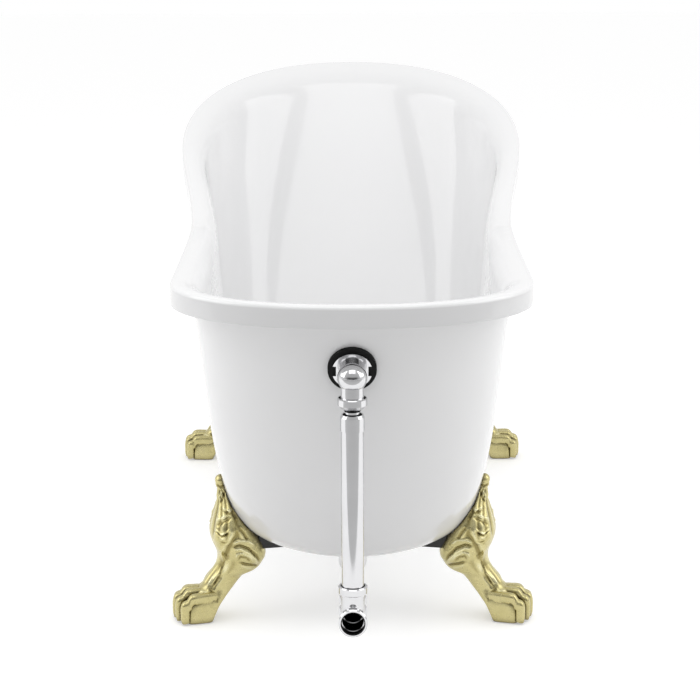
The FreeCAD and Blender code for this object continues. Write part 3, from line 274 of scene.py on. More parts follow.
def opaque(value):
    """A colour with its alpha. Wires and numbers stay as they are."""
    return (*value, 1.0) if isinstance(value, tuple) else value


class Finish:
    """A material under construction: its node maker and its shader's sockets."""

    def __init__(self, name):
        self.material = bpy.data.materials.new(name)
        self.material.use_nodes = True
        self.tree = self.material.node_tree
        self.shader = self.tree.nodes["Principled BSDF"]

    def node(self, kind, settings=None, **values):
        """One node: settings first, then the values or wires of its sockets."""
        made = self.tree.nodes.new("ShaderNode" + kind)
        for key, value in (settings or {}).items():
            setattr(made, key, value)
        for key, value in values.items():
            plug(made.inputs[key.replace("_", " ")], value)
        return made

    def wire(self, node, output=0):
        return Wire(self.tree, node.outputs[output])

    def place(self):
        return self.wire(self.node("TexCoord"), "Object")

    def relief(self):
        return self.wire(self.node("Attribute", {"attribute_name": RELIEF_AND_SHADE_MARK}), "Fac")

    def noise(self, scale, detail=3.0, roughness=0.5, vector=None):
        return self.wire(self.node("TexNoise", None, Vector=vector or self.place(),
                                   Scale=scale, Detail=detail, Roughness=roughness))

    def mix(self, factor, low, high):
        made = self.node("Mix", {"data_type": "RGBA"})
        plug(made.inputs[0], factor)
        plug(made.inputs[MIX_LOW], opaque(low))
        plug(made.inputs[MIX_HIGH], opaque(high))
        return self.wire(made, MIX_RESULT)

    def bump(self, height, strength, distance):
        """Normal of a bumpy surface, whose distance is in metres."""
        return self.wire(self.node("Bump", None, Strength=strength, Distance=distance,
                                   Height=height))

    def set(self, **values):
        for key, value in values.items():
            plug(self.shader.inputs[key.replace("_", " ")], opaque(value))
        return self.material


# Colours of the finishes, the darker tone first where there are two
ACRYLIC_TONES = ((0.870, 0.870, 0.876), (0.885, 0.885, 0.888))
# Painted shade: the rim band's darker tone over the same white acrylic
ACRYLIC_BAND_PAINTED_SHADE = (0.76, 0.76, 0.765)
GOLD_TONES = ((0.590, 0.525, 0.250), (0.620, 0.555, 0.280))
# Painted shade in the casting's grooves and a painted highlight on its ridges
GOLD_PAINTED_GROOVE_SHADE = (0.30, 0.25, 0.095)
GOLD_PAINTED_RIDGE_HIGHLIGHT = (0.98, 0.95, 0.66)
# Painted shade of the casting's hollows, drawn by ambient occlusion
GOLD_PAINTED_HOLLOW_SHADE = (0.16, 0.13, 0.055)
CHROME_TONES = ((0.62, 0.62, 0.63), (0.70, 0.70, 0.71))
RUBBER_TONES = ((0.004, 0.004, 0.004), (0.012, 0.012, 0.012))
STEEL_TONES = ((0.010, 0.010, 0.010), (0.022, 0.022, 0.022))
ZINC_TONES = ((0.46, 0.46, 0.45), (0.62, 0.62, 0.60))
BOARD_TONES = ((0.36, 0.25, 0.14), (0.62, 0.47, 0.30))
BRASS_TONES = ((0.55, 0.40, 0.16), (0.68, 0.52, 0.24))

# Reach of the grooves' shadow on the casting, and the board's grain across, along and up
SHADOW_REACH = 14 * MM
BOARD_GRAIN = (18.0, 1.2, 60.0)


def acrylic():
    """Polished white acrylic with a faint ripple and the thinnest wear, and painted shade on the
    band.
    """
    finish = Finish("white_acrylic")
    ripple = finish.noise(9.0, 2.0)
    fine = finish.noise(420.0, 2.0)
    tone = finish.mix(finish.noise(3.0).span(0.3, 0.7, 0.0, 1.0), *ACRYLIC_TONES)
    # Painted shade: the band is drawn darker than the rest of the acrylic
    tone = finish.mix(finish.relief().span(BAND_SHADE_MARK, 0.0, 0.0, 1.0), ACRYLIC_BAND_PAINTED_SHADE, tone)
    return finish.set(
        Base_Color=tone,
        Roughness=finish.noise(60.0, 4.0).span(0.35, 0.75, 0.10, 0.17),
        Coat_Weight=0.5,
        Coat_Roughness=0.03,
        Normal=finish.bump(ripple + fine * 0.02, 0.06, 0.0008))


def gold():
    """Pale satin gold plating, with painted shade in the grooves and hollows of the casting and
    painted highlights on its edges.
    """
    finish = Finish("gold_casting")
    relief = finish.relief()
    # Painted shade in the grooves and painted highlight on the ridges, by the carving's height
    groove_shade_mask = relief.span(-1.1, 0.05, 0.0, 1.0)
    ridge_highlight_mask = relief.span(0.5, 2.0, 0.0, 0.55)
    # Painted shade where ambient occlusion finds hollows
    hollow = finish.node("AmbientOcclusion", {"samples": 8}, Distance=SHADOW_REACH)
    open_sky = finish.wire(hollow, "AO").span(0.30, 0.92, 0.0, 1.0)
    cloud = finish.noise(38.0, 4.0).span(0.35, 0.65, 0.0, 1.0)
    plate = finish.mix(cloud, *GOLD_TONES)
    plate = finish.mix(groove_shade_mask, GOLD_PAINTED_GROOVE_SHADE, plate)
    plate = finish.mix(ridge_highlight_mask, plate, GOLD_PAINTED_RIDGE_HIGHLIGHT)
    return finish.set(
        Base_Color=finish.mix(open_sky, GOLD_PAINTED_HOLLOW_SHADE, plate),
        Metallic=0.85,
        Roughness=finish.noise(120.0, 3.0).span(0.3, 0.7, 0.22, 0.30),
        Normal=finish.bump(finish.noise(700.0, 3.0), 0.03, 0.0002))


def chrome():
    """Polished chrome plate with faint smears."""
    finish = Finish("chrome_brass")
    smear = finish.noise(35.0, 5.0)
    return finish.set(
        Base_Color=finish.mix(smear, *CHROME_TONES),
        Metallic=1.0,
        Roughness=smear.span(0.35, 0.75, 0.07, 0.13),
        Normal=finish.bump(finish.noise(900.0, 2.0), 0.015, 0.0002))


def rubber():
    """Matte black rubber with a little dust."""
    finish = Finish("black_rubber")
    dust = finish.noise(140.0, 4.0)
    return finish.set(
        Base_Color=finish.mix(dust.span(0.4, 0.8, 0.0, 1.0), *RUBBER_TONES),
        Specular_IOR_Level=0.2,
        Roughness=dust.span(0.3, 0.7, 0.55, 0.75),
        Normal=finish.bump(finish.noise(1200.0, 3.0), 0.15, 0.0003))


def black_steel():
    """Black powder coat with its orange-peel grain."""
    finish = Finish("black_steel")
    coat = finish.noise(900.0, 3.0)
    return finish.set(
        Base_Color=finish.mix(finish.noise(60.0), *STEEL_TONES),
        Roughness=coat.span(0.3, 0.7, 0.38, 0.52),
        Normal=finish.bump(coat, 0.2, 0.0003))


def zinc():
    """Zinc plate of the bolts and screws."""
    finish = Finish("zinc_steel")
    spangle = finish.noise(260.0, 4.0)
    return finish.set(
        Base_Color=finish.mix(spangle, *ZINC_TONES),
        Metallic=1.0,
        Roughness=spangle.span(0.3, 0.7, 0.25, 0.42),
        Normal=finish.bump(spangle, 0.08, 0.0003))


def plywood():
    """Sealed board, its grain drawn out along the tub."""
    finish = Finish("board")
    stretch = finish.node("Mapping", None, Vector=finish.place(), Scale=BOARD_GRAIN)
    grain = finish.noise(6.0, 6.0, 0.6, finish.wire(stretch))
    return finish.set(
        Base_Color=finish.mix(grain, *BOARD_TONES),
        Roughness=grain.span(0.3, 0.7, 0.55, 0.75),
        Normal=finish.bump(grain, 0.2, 0.0006))


def brass():
    """Turned brass of the stopper's stem."""
    finish = Finish("brass_stem")
    turned_mark = finish.noise(500.0, 3.0)
    return finish.set(
        Base_Color=finish.mix(turned_mark, *BRASS_TONES),
        Metallic=1.0,
        Roughness=turned_mark.span(0.3, 0.7, 0.2, 0.32),
        Normal=finish.bump(turned_mark, 0.05, 0.0002))


MATERIALS = {
    "white_acrylic": acrylic(),
    "gold_casting": gold(),
    "chrome_brass": chrome(),
    "black_rubber": rubber(),
    "black_steel": black_steel(),
    "zinc_steel": zinc(),
    "board": plywood(),
    "brass_stem": brass(),
}

# Every carried-over node gets the finish of its slot
SLOT_OF = {sub["node"]: sub["material_slot"] for sub in frame["record"]["subparts"]}
for node_name, node in frame["nodes"].items():
    node.data.materials.clear()
    node.data.materials.append(MATERIALS[SLOT_OF[node_name]])


# Tub shells

def power_corner(angle):
    """Share across and share along of a corner, from the end's middle to the side."""
    reach = 2.0 / CORNER_POWER
    return math.sin(angle) ** reach, 1.0 - max(0.0, math.cos(angle)) ** reach


def oval(foot_half, head_half, foot_edge, head_edge, foot_corner, head_corner):
    """An oval's half widths, the places of its ends and the lengths of its corners."""
    return (foot_half, head_half, -HALF_LENGTH + foot_edge, HALF_LENGTH - head_edge,
            foot_corner, head_corner)


@functools.lru_cache(maxsize=None)
def oval_point(shape, round_way):
    """Point of an oval: 0 is the foot's middle, a half is the head's middle."""
    foot_half, head_half, foot_y, head_y, foot_corner, head_corner = shape
    side = 1.0 if round_way <= 0.5 else -1.0
    along_half = 1 - abs(2 * round_way - 1)
    if along_half < FOOT_SPAN:
        across, along = power_corner(math.pi / 2 * along_half / FOOT_SPAN)
        return side * foot_half * across, foot_y + foot_corner * along
    if along_half > HEAD_SPAN:
        across, along = power_corner(math.pi / 2 * (1 - along_half) / (1 - HEAD_SPAN))
        return side * head_half * across, head_y - head_corner * along
    way = (along_half - FOOT_SPAN) / (HEAD_SPAN - FOOT_SPAN)
    swell = way ** SIDE_SWELL
    swell = swell * swell * (3 - 2 * swell)
    return (side * blend(foot_half, head_half, swell),
            blend(foot_y + foot_corner, head_y - head_corner, way))


def rim_oval(inset):
    """The rim's outline, drawn in by the inset."""
    return oval(FOOT_HALF - inset, HEAD_HALF - inset, inset, inset,
                FOOT_CORNER - inset / 2, HEAD_CORNER - inset / 2)


def rim_height(y):
    """Height of the rim, which is level at the foot and rises towards the head."""
    way = (y + HALF_LENGTH) / (2 * HALF_LENGTH)
    rise = max(0.0, (way - RISE_START) / (1 - RISE_START))
    return FOOT_RIM_HEIGHT + SLIPPER_RISE * (
        rise ** RISE_POWER * (1 + RISE_BULGE * rise * (1 - rise)))


def bezier(way, handles):
    """Place on a curve from nothing to one whole share out and up."""
    near, far = handles
    back = 1 - way
    return tuple(3 * back * back * way * near[i] + 3 * back * way * way * far[i] + way ** 3
                 for i in (0, 1))


def wall_share(way, round_way, handles):
    """Share out and share up of a wall, blended from its foot, side and head profiles."""
    along_half = 1 - abs(2 * round_way - 1)
    foot = math.sin(math.pi / 2 * max(0.0, 1 - along_half / FOOT_SPAN)) ** 2
    head = math.sin(math.pi / 2 * max(0.0, 1 - (1 - along_half) / (1 - HEAD_SPAN))) ** 2
    weights = (foot, 1 - foot - head, head)
    points = [bezier(way, pair) for pair in handles]
    return tuple(sum(w * p[i] for w, p in zip(weights, points)) for i in (0, 1))


class Wall:
    """One tub wall: its floor oval, its top oval and its profile."""

    def __init__(self, top, floor, drop, floor_z, handles):
        self.top = top
        self.floor = floor
        self.drop = drop
        self.floor_z = floor_z
        self.handles = handles

    def at(self, round_way, way):
        """Place round the wall and up it, from its floor to its top."""
        out, rise = wall_share(way, round_way, self.handles)
        top_x, top_y = oval_point(self.top, round_way)
        floor_x, floor_y = oval_point(self.floor, round_way)
        top_z = rim_height(top_y) - self.drop
        return Vector((blend(floor_x, top_x, out), blend(floor_y, top_y, out),
                       blend(self.floor_z, top_z, rise)))

    def floor_at(self, round_way, share):
        """Place on the floor, from its middle to its edge."""
        x, y = oval_point(self.floor, round_way)
        foot_y, head_y = self.floor[2:4]
        middle = (foot_y + head_y) / 2
        return Vector((x * share, middle + (y - middle) * share, self.floor_z))

    @functools.lru_cache(maxsize=None)
    def way_at_drop(self, round_way, drop):
        """How far up the wall reaches a place that lies this far under its top."""
        goal = self.at(round_way, 1.0).z - drop
        return halved(0.5, 1.0, turns=18, too_low=lambda way: self.at(round_way, way).z < goal)


def skin_wall(grow, drop=BAND_HEIGHT):
    """The outer skin's wall, grown outwards."""
    foot_half, head_half, foot_edge, head_edge = SKIN_FLOOR
    floor = oval(foot_half + grow, head_half + grow, foot_edge - grow, head_edge - grow,
                 FOOT_CORNER * FLOOR_FOOT_CORNER, HEAD_CORNER * SKIN_FLOOR_HEAD_CORNER)
    return Wall(rim_oval(SKIN_OVERHANG - grow), floor, drop, SKIN_BOTTOM - grow,
                SKIN_HANDLES)


def basin_wall(grow):
    """The basin's wall, grown outwards."""
    foot_half, head_half, foot_edge, head_edge = BASIN_FLOOR_OVAL
    floor = oval(foot_half + grow, head_half + grow, foot_edge - grow, head_edge - grow,
                 FOOT_CORNER * FLOOR_FOOT_CORNER, HEAD_CORNER * BASIN_FLOOR_HEAD_CORNER)
    return Wall(rim_oval(RIM_WIDTH - grow), floor, 0.0, BASIN_FLOOR - grow, BASIN_HANDLES)


def rim_point(round_way, inset, drop):
    """Place in from the rim's outline and down from its top."""
    x, y = oval_point(rim_oval(inset), round_way)
    return Vector((x, y, rim_height(y) - drop))


def bend(start, middle, end, way):
    """Place on the round of a corner."""
    back = 1 - way
    return start * back * back + middle * 2 * back * way + end * way * way


def staged(rows, places, along):
    """Place along a profile of stages, each with its rows of faces and its own place(way)."""
    spot = along * sum(rows)
    for count, place in zip(rows, places):
        if spot <= count + ROW_SLACK:
            return place(spot / count)
        spot -= count
    return places[-1](1.0)


def make_inner_shell():
    """Basin, rim and band as one closed skin."""
    inside, outside = basin_wall(0.0), basin_wall(BASIN_WALL)

    def place(round_way, along):
        top_way = inside.way_at_drop(round_way, RIM_ROLL_DROP)
        low_way = outside.way_at_drop(round_way, BAND_HEIGHT)
        places = (
            lambda w: inside.floor_at(round_way, w),
            lambda w: inside.at(round_way, top_way * w),
            lambda w: bend(inside.at(round_way, top_way), inside.at(round_way, 1.0),
                           rim_point(round_way, RIM_ROLL_INSET, 0.0), w),
            lambda w: bend(rim_point(round_way, RIM_OUTER_ROUND, 0.0),
                           rim_point(round_way, 0.0, 0.0),
                           rim_point(round_way, 0.0, RIM_OUTER_ROUND), w),
            lambda w: rim_point(round_way, 0.0,
                                blend(RIM_OUTER_ROUND, BAND_HEIGHT - BAND_EDGE, w)),
            lambda w: bend(rim_point(round_way, 0.0, BAND_HEIGHT - BAND_EDGE),
                           rim_point(round_way, 0.0, BAND_HEIGHT),
                           rim_point(round_way, BAND_EDGE, BAND_HEIGHT), w),
            lambda w: rim_point(round_way, BAND_EDGE, BAND_HEIGHT).lerp(
                outside.at(round_way, low_way), w),
            lambda w: outside.at(round_way, low_way * (1 - w)),
            lambda w: outside.floor_at(round_way, 1 - w),
        )
        return staged(BASIN_ROWS, places, along)

    # Marks the band's rows for the painted shade of its material
    def relief(round_way, along):
        row = along * sum(BASIN_ROWS)
        return BAND_SHADE_MARK if BAND_ROWS[0] < row < BAND_ROWS[1] else 0.0

    shell = finished_shell("basin_and_rim",
                           surface(TUB_COLUMNS, sum(BASIN_ROWS), place, relief))
    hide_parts("inner_shell")


def make_outer_shell():
    """Outer skin as a closed wall."""
    outside = skin_wall(0.0, BAND_HEIGHT + BOND_GAP)
    inside = skin_wall(-SKIN_WALL, BAND_HEIGHT + BOND_GAP)

    def place(round_way, along):
        places = (
            lambda w: outside.floor_at(round_way, w),
            lambda w: outside.at(round_way, w),
            lambda w: outside.at(round_way, 1.0).lerp(inside.at(round_way, 1.0), w),
            lambda w: inside.at(round_way, 1 - w),
            lambda w: inside.floor_at(round_way, 1 - w),
        )
        return staged(SKIN_ROWS, places, along)

    shell = finished_shell("outer_skin", surface(TUB_COLUMNS, sum(SKIN_ROWS), place))
    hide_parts("outer_shell")


def finished_shell(name, bm):
    """Shell with the holes of the overflow and the drain cut out."""
    shell = new_piece(name, bm, "white_acrylic", SHELL_ANGLE)
    cut(shell, [overflow_cutter(), drain_cutter()])
    dress(shell, "white_acrylic", SHELL_ANGLE)
    return shell


# Holes of the overflow and the drain

# Spans of the cutters along the hole: outwards from the skin, and up from the floor
OVERFLOW_CUT = (-70 * MM, 30 * MM)
DRAIN_CUT = (60 * MM, 200 * MM)
CUTTER_SEGMENTS = 96
# Share of the way up the skin that its slope at the overflow is taken over
SLOPE_STEP = 0.004


def overflow_axis():
    """Place on the skin and the direction outwards from it."""
    wall = skin_wall(0.0)
    way = halved(0.0, 1.0, turns=30, too_low=lambda w: wall.at(0.0, w).z < OVERFLOW_HEIGHT)
    spot = wall.at(0.0, way)
    step = wall.at(0.0, way - SLOPE_STEP)
    lean = math.atan2(step.y - spot.y, spot.z - step.z)
    return spot, Vector((0, -math.cos(lean), -math.sin(lean)))


def cutter(radius, span, matrix):
    """Cylinder about Z over a span of heights, put in place."""
    low, high = span
    bm = bmesh.new()
    outline = ((0, low), (radius, low), (radius, high), (0, high))
    points = [bm.verts.new((out, 0, height)) for out, height in outline]
    for start, end in zip(points, points[1:]):
        bm.edges.new((start, end))
    bmesh.ops.spin(bm, geom=bm.verts[:] + bm.edges[:], cent=(0, 0, 0), axis=(0, 0, 1),
                   angle=2 * math.pi, steps=CUTTER_SEGMENTS, use_merge=True)
    bmesh.ops.remove_doubles(bm, verts=bm.verts, dist=WELD_GAP)
    bmesh.ops.recalc_face_normals(bm, faces=bm.faces)
    bmesh.ops.transform(bm, matrix=matrix, verts=bm.verts)
    return linked_object("tool", bm)


def overflow_cutter():
    spot, outward = overflow_axis()
    turn = outward.to_track_quat("Z", "Y").to_matrix().to_4x4()
    return cutter(OVERFLOW_HOLE, OVERFLOW_CUT, Matrix.Translation(spot) @ turn)


def drain_cutter():
    low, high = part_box("drain_seal")
    middle = Vector((0, (low.y + high.y) / 2, 0))
    return cutter(DRAIN_HOLE, DRAIN_CUT, Matrix.Translation(middle))


# Legs

# Sections of the shank from the top down, in millimetres:
# height, inner edge, outer edge, half width, and how boxy the section is
LEG_SECTIONS = (
    (247.0, -14.0, -9.5, 3.0, 2.0),
    (243.5, -18.5, -5.0, 7.5, 2.0),
    (237.0, -21.0, -2.8, 10.0, 2.0),
    (230.0, -23.0, -2.6, 10.5, 2.0),
    (222.0, -28.5, -5.6, 11.5, 2.1),
    (208.0, -38.0, -5.4, 20.0, 2.2),
    (193.0, -47.0, -3.0, 32.0, 2.3),
    (177.0, -57.0, 1.6, 42.0, 2.4),
    (160.0, -64.0, 5.6, 47.0, 2.5),
    (145.0, -69.5, 7.2, 47.0, 2.5),
    (132.0, -77.0, 4.2, 43.5, 2.4),
    (120.0, -82.0, -1.0, 42.0, 2.6),
    (112.0, -83.5, -3.8, 40.0, 2.6),
    (104.0, -82.5, -4.6, 37.5, 2.5),
    (96.0, -79.0, -2.4, 34.0, 2.3),
    (88.0, -74.5, 2.4, 30.5, 2.2),
    (82.0, -67.0, 6.8, 28.0, 2.3),
    (78.0, -57.0, 9.8, 25.5, 2.4),
    (74.0, -47.0, 12.8, 23.5, 2.4),
    (67.0, -39.5, 18.0, 23.0, 2.4),
    (60.0, -33.5, 23.4, 22.5, 2.5),
    (54.0, -28.0, 30.0, 23.0, 2.8),
    (49.0, -23.0, 37.0, 24.0, 3.2),
    (43.0, -17.0, 44.0, 25.5, 3.8),
    (37.0, -11.5, 49.0, 27.0, 4.5),
    (27.0, -3.5, 53.0, 28.5, 5.0),
    (11.0, 5.0, 54.0, 29.5, 5.5),
    (2.0, 9.0, 54.0, 29.5, 5.5),
    (0.0, 10.0, 53.0, 28.5, 5.5),
)
# Share of the rows that closes the sole
SOLE_SHARE = 0.015
LEG_COLUMNS = 176
LEG_ROWS = 240


def spline_value(table, column, key):
    """Smooth value of a column of a table sorted downwards by its first column."""
    last = len(table) - 1
    spot = 0
    while spot < last - 1 and key < table[spot + 1][0]:
        spot += 1
    before = table[max(spot - 1, 0)]
    start, end = table[spot], table[spot + 1]
    after = table[min(spot + 2, last)]
    width = end[0] - start[0]
    way = (key - start[0]) / width

    def slope(near, middle, far):
        left = (middle[column] - near[column]) / (middle[0] - near[0] or 1)
        right = (far[column] - middle[column]) / (far[0] - middle[0] or 1)
        if left * right <= 0:
            return 0.0
        return 2 * left * right / (left + right)

    rise = slope(before, start, end) if before is not start else (
        (end[column] - start[column]) / width)
    fall = slope(start, end, after) if after is not end else (
        (end[column] - start[column]) / width)
    square, cube = way * way, way ** 3
    return ((2 * cube - 3 * square + 1) * start[column]
            + (cube - 2 * square + way) * width * rise
            + (-2 * cube + 3 * square) * end[column]
            + (cube - square) * width * fall)


# Carving on the sides of the leg: a line of (out, up) places in millimetres, its width
# and its height above the surface. A groove is below zero.
CARVED_LINES = (
    # knob of the tip and the small leaf under it
    (((-1, 231), (-9, 228), (-19, 231)), 1.8, -2.0),
    (((-16, 222), (-11, 209), (-3, 196)), 1.5, -1.9),
    (((-12, 222), (-7, 209), (1, 198)), 1.5, 1.3),
    (((-20, 219), (-24, 207), (-27, 197)), 2.0, 1.5),
    (((-10, 196), (-18, 193), (-27, 196)), 1.4, 2.0),
    (((-9, 191), (-18, 188), (-28, 191)), 1.5, -2.3),
    # edge of the large leaf and the flutes beside it
    (((-18, 188), (-7, 182), (8, 170)), 1.4, 2.1),
    (((-21, 183), (-9, 176), (6, 164)), 1.6, -2.1),
    (((-3, 207), (5, 193), (12, 180)), 1.6, -1.7),
    (((2, 200), (9, 188), (14, 176)), 1.4, 1.2),
    (((-23, 189), (-29, 178)), 2.2, -2.2),
    (((-31, 167), (-39, 156), (-46, 143)), 2.6, -2.3),
    (((-26, 170), (-34, 158), (-41, 145)), 2.2, 1.3),
    # eye
    (((8, 163), (-4, 155), (-17, 165)), 1.3, 1.7),
    (((6, 159), (-4, 151), (-14, 159)), 1.2, -2.2),
    (((3, 154), (-5, 147), (-11, 153)), 1.1, 1.5),
    (((-2, 142), (-8, 140), (-14, 145)), 1.4, -1.2),
    # cheek
    (((-26, 158), (-20, 144), (-15, 134), (-11, 118), (-13, 102)), 3.0, -2.1),
    (((-20, 160), (-14, 145), (-9, 133), (-5, 118), (-7, 104)), 2.6, 1.2),
    # muzzle and its folds
    (((-19, 140), (-30, 145), (-46, 143), (-58, 132)), 2.0, 2.0),
    (((-20, 133), (-32, 136), (-48, 128), (-62, 113), (-68, 100)), 1.8, -2.5),
    (((-22, 127), (-33, 130), (-47, 121), (-60, 106), (-65, 94)), 2.4, 1.7),
    (((-26, 111), (-28, 120), (-36, 122), (-50, 113), (-58, 101)), 1.4, 2.0),
    (((-31, 108), (-34, 115), (-44, 112), (-52, 103)), 1.6, -1.4),
    (((-33, 104), (-45, 99), (-59, 95), (-66, 91)), 2.0, -2.5),
    (((-34, 98), (-46, 92), (-58, 88)), 2.2, 1.3),
    # ridges down the shank
    (((7, 118), (15, 97), (30, 72)), 1.5, -2.0),
    (((3, 114), (11, 91), (27, 66)), 1.5, 2.3),
    (((-1, 108), (8, 87), (23, 62)), 1.4, -2.3),
    (((-6, 108), (3, 85), (18, 60)), 1.6, 2.0),
    (((-11, 104), (-3, 81), (12, 57)), 1.4, -2.3),
    (((-17, 100), (-9, 78), (6, 55)), 2.4, 1.0),
    # paw
    (((44, 52), (30, 53), (16, 51)), 2.0, 1.5),
    (((16, 57), (9, 48), (3, 36)), 2.2, -2.3),
    (((38, 50), (29, 45), (20, 43)), 1.8, -1.4),
)
# How many widths a line reaches, the share of its length that fades at each end, the share
# of its height that is left there, and how far aside a place faces where lines fade in
LINE_REACH = 2.6
LINE_FADE = 0.18
LINE_END = 0.25
LINE_FACING = (0.25, 0.6)

# Flutes round the leaf and reeds down the shank: their number round the leg, their depth
# in millimetres, the heights between which they fade in and out, and how far outwards a
# place faces where they fade in
FLUTE_COUNT = 14
FLUTE_DEPTH = 2.2
FLUTE_HEIGHTS = ((140, 156), (228, 216))
FLUTE_FACING = (-0.35, 0.1)
FLUTE_POWER = 0.6
FLUTE_LEVEL = 0.6
REED_COUNT = 8
REED_DEPTH = 1.1
REED_HEIGHTS = ((112, 100), (58, 66))
REED_FACING = (0.2, 0.6)


def line_distance(u, z, line):
    """Distance from a place to a line of places, and how far along the line it is."""
    best = None
    pieces = len(line) - 1
    for number in range(pieces):
        (x0, y0), (x1, y1) = line[number], line[number + 1]
        dx, dy = x1 - x0, y1 - y0
        way = min(1.0, max(0.0, ((u - x0) * dx + (z - y0) * dy) / (dx * dx + dy * dy)))
        gap = math.hypot(u - x0 - dx * way, z - y0 - dy * way)
        if best is None or gap < best[0]:
            best = (gap, (number + way) / pieces)
    return best


def faded(z, heights):
    """Share of a form at a height: all of it between two pairs of heights, none beyond."""
    return smooth_step(*heights[0], z) * smooth_step(*heights[1], z)


def carving(u, z, angle):
    """Height of the casting's relief at a place, in millimetres."""
    height = 0.0
    facing = math.cos(angle)
    flank = smooth_step(*LINE_FACING, abs(math.sin(angle)))
    if flank > 0:
        for line, width, rise in CARVED_LINES:
            gap, way = line_distance(u, z, line)
            if gap < LINE_REACH * width:
                ends = smooth_step(0.0, LINE_FADE, way) * smooth_step(1.0, 1 - LINE_FADE, way)
                depth = rise * flank * math.exp(-(gap / width) ** 2)
                height += depth * blend(LINE_END, 1.0, ends)
    fluted = smooth_step(*FLUTE_FACING, facing) * faded(z, FLUTE_HEIGHTS)
    wave = 0.5 + 0.5 * math.cos(angle * FLUTE_COUNT)
    height += FLUTE_DEPTH * fluted * (wave ** FLUTE_POWER - FLUTE_LEVEL)
    reeded = smooth_step(*REED_FACING, facing) * faded(z, REED_HEIGHTS)
    height += REED_DEPTH * reeded * math.cos(angle * REED_COUNT)
    return height


def make_leg_mesh():
    """The casting in its own frame: X outwards from the heel, Z up from the sole."""
    top, bottom = LEG_SECTIONS[0][0], LEG_SECTIONS[-1][0]

    @functools.lru_cache(maxsize=None)
    def spot(round_way, along):
        """Place of a point in millimetres and the height of its carving."""
        shrink = min(1.0, (1 - along) / SOLE_SHARE) if along > 0.0 else 0.0
        z = blend(top, bottom, min(1.0, along / (1 - SOLE_SHARE)))
        inner, outer, half, power = [spline_value(LEG_SECTIONS, k, z) for k in (1, 2, 3, 4)]
        angle = 2 * math.pi * round_way
        cosine, sine = math.cos(angle), math.sin(angle)
        middle, half_out = (inner + outer) / 2, (outer - inner) / 2
        u = squared_off(cosine, power) * half_out
        w = squared_off(sine, power) * half
        raised = carving(middle + u, z, angle) if shrink == 1.0 else 0.0
        out = middle + (u + raised * cosine) * shrink
        return Vector((out, (w + raised * sine) * shrink, z)), raised

    bm = surface(LEG_COLUMNS, LEG_ROWS,
                 lambda round_way, along: spot(round_way, along)[0] * MM,
                 lambda round_way, along: spot(round_way, along)[1])
    join(bm, bead_mesh())
    for number in range(TOE_COUNT):
        join(bm, toe_mesh(number))
    return bm


# Curled knob at the leaf's tip: its place, its half sizes and its mesh
BEAD_PLACE = (-11.0, 0, 237.5)
BEAD_SIZES = (9.3, 10.5, 9.5)
BEAD_COLUMNS = 48
BEAD_ROWS = 32


def bead_mesh():
    """Egg-shaped knob."""
    def place(round_way, along):
        angle = 2 * math.pi * round_way
        tilt = math.pi * (along - 0.5)
        out = Vector((math.cos(tilt) * math.cos(angle), math.sin(tilt),
                      math.cos(tilt) * math.sin(angle)))
        return Vector([c + o * s for c, o, s in zip(BEAD_PLACE, out, BEAD_SIZES)]) * MM
    return surface(BEAD_COLUMNS, BEAD_ROWS, place)


# Places along a toe: way along, out, up, half height, half width, in millimetres
TOE_PLACES = (
    (0.00, 4.0, 42.0, 13.0, 6.0),
    (0.16, 18.0, 45.0, 11.5, 7.0),
    (0.32, 33.0, 47.0, 9.5, 7.2),
    (0.42, 43.0, 46.5, 9.8, 7.8),
    (0.52, 50.5, 41.5, 7.0, 6.3),
    (0.62, 56.5, 35.5, 9.8, 7.6),
    (0.72, 60.0, 26.5, 7.6, 6.8),
    (0.88, 60.0, 13.0, 7.4, 6.3),
    (1.00, 59.0, 3.5, 6.6, 5.6),
)
# Distance between two toes in millimetres, the angle between them in degrees, and each
# toe's own length and height
TOE_COUNT = 4
TOE_SPACING = 12.6
TOE_FAN = 4.5
TOE_STRETCH = (0.97, 1.06, 1.08, 1.02)
TOE_LIFT = (0.90, 0.99, 0.99, 0.90)
# How boxy a toe is, the shares of its rows that close its heel and its tip, and the step
# that gives its direction
TOE_POWER = 2.6
TOE_HEEL = 0.02
TOE_TIP = 0.015
TOE_STEP = 0.02
TOE_COLUMNS = 40
TOE_ROWS = 64


def toe_mesh(number):
    """One toe: two knuckles, a dip between them and a straight claw front."""
    aside = number - (TOE_COUNT - 1) / 2
    fan = math.radians(aside * TOE_FAN)
    out = Vector((math.cos(fan), math.sin(fan), 0))
    across = Vector((-math.sin(fan), math.cos(fan), 0))
    table = [(-place[0], *place[1:]) for place in TOE_PLACES]

    def place(round_way, along):
        key = -min(1.0, max(0.0, (along - TOE_HEEL) / (1 - 2 * TOE_HEEL)))
        shrink = smooth_step(0.0, TOE_HEEL, along) * smooth_step(1.0, 1 - TOE_TIP, along)
        u = spline_value(table, 1, key) * TOE_STRETCH[number]
        z = spline_value(table, 2, key) * TOE_LIFT[number]
        half_up = spline_value(table, 3, key)
        half_across = spline_value(table, 4, key)
        near = max(-1.0, key - TOE_STEP)
        far = min(0.0, key + TOE_STEP)
        du = spline_value(table, 1, near) - spline_value(table, 1, far)
        dz = spline_value(table, 2, near) - spline_value(table, 2, far)
        length = math.hypot(du, dz)
        upward = out * (-dz / length) + Vector((0, 0, du / length))
        angle = 2 * math.pi * round_way
        lift = squared_off(math.cos(angle), TOE_POWER) * half_up * shrink
        push = squared_off(math.sin(angle), TOE_POWER) * half_across * shrink
        spot = (Vector((0, aside * TOE_SPACING, 0)) + out * u + Vector((0, 0, z))
                + upward * lift + across * push)
        spot.z = max(0.0, spot.z)
        return spot * MM
    return surface(TOE_COLUMNS, TOE_ROWS, place)


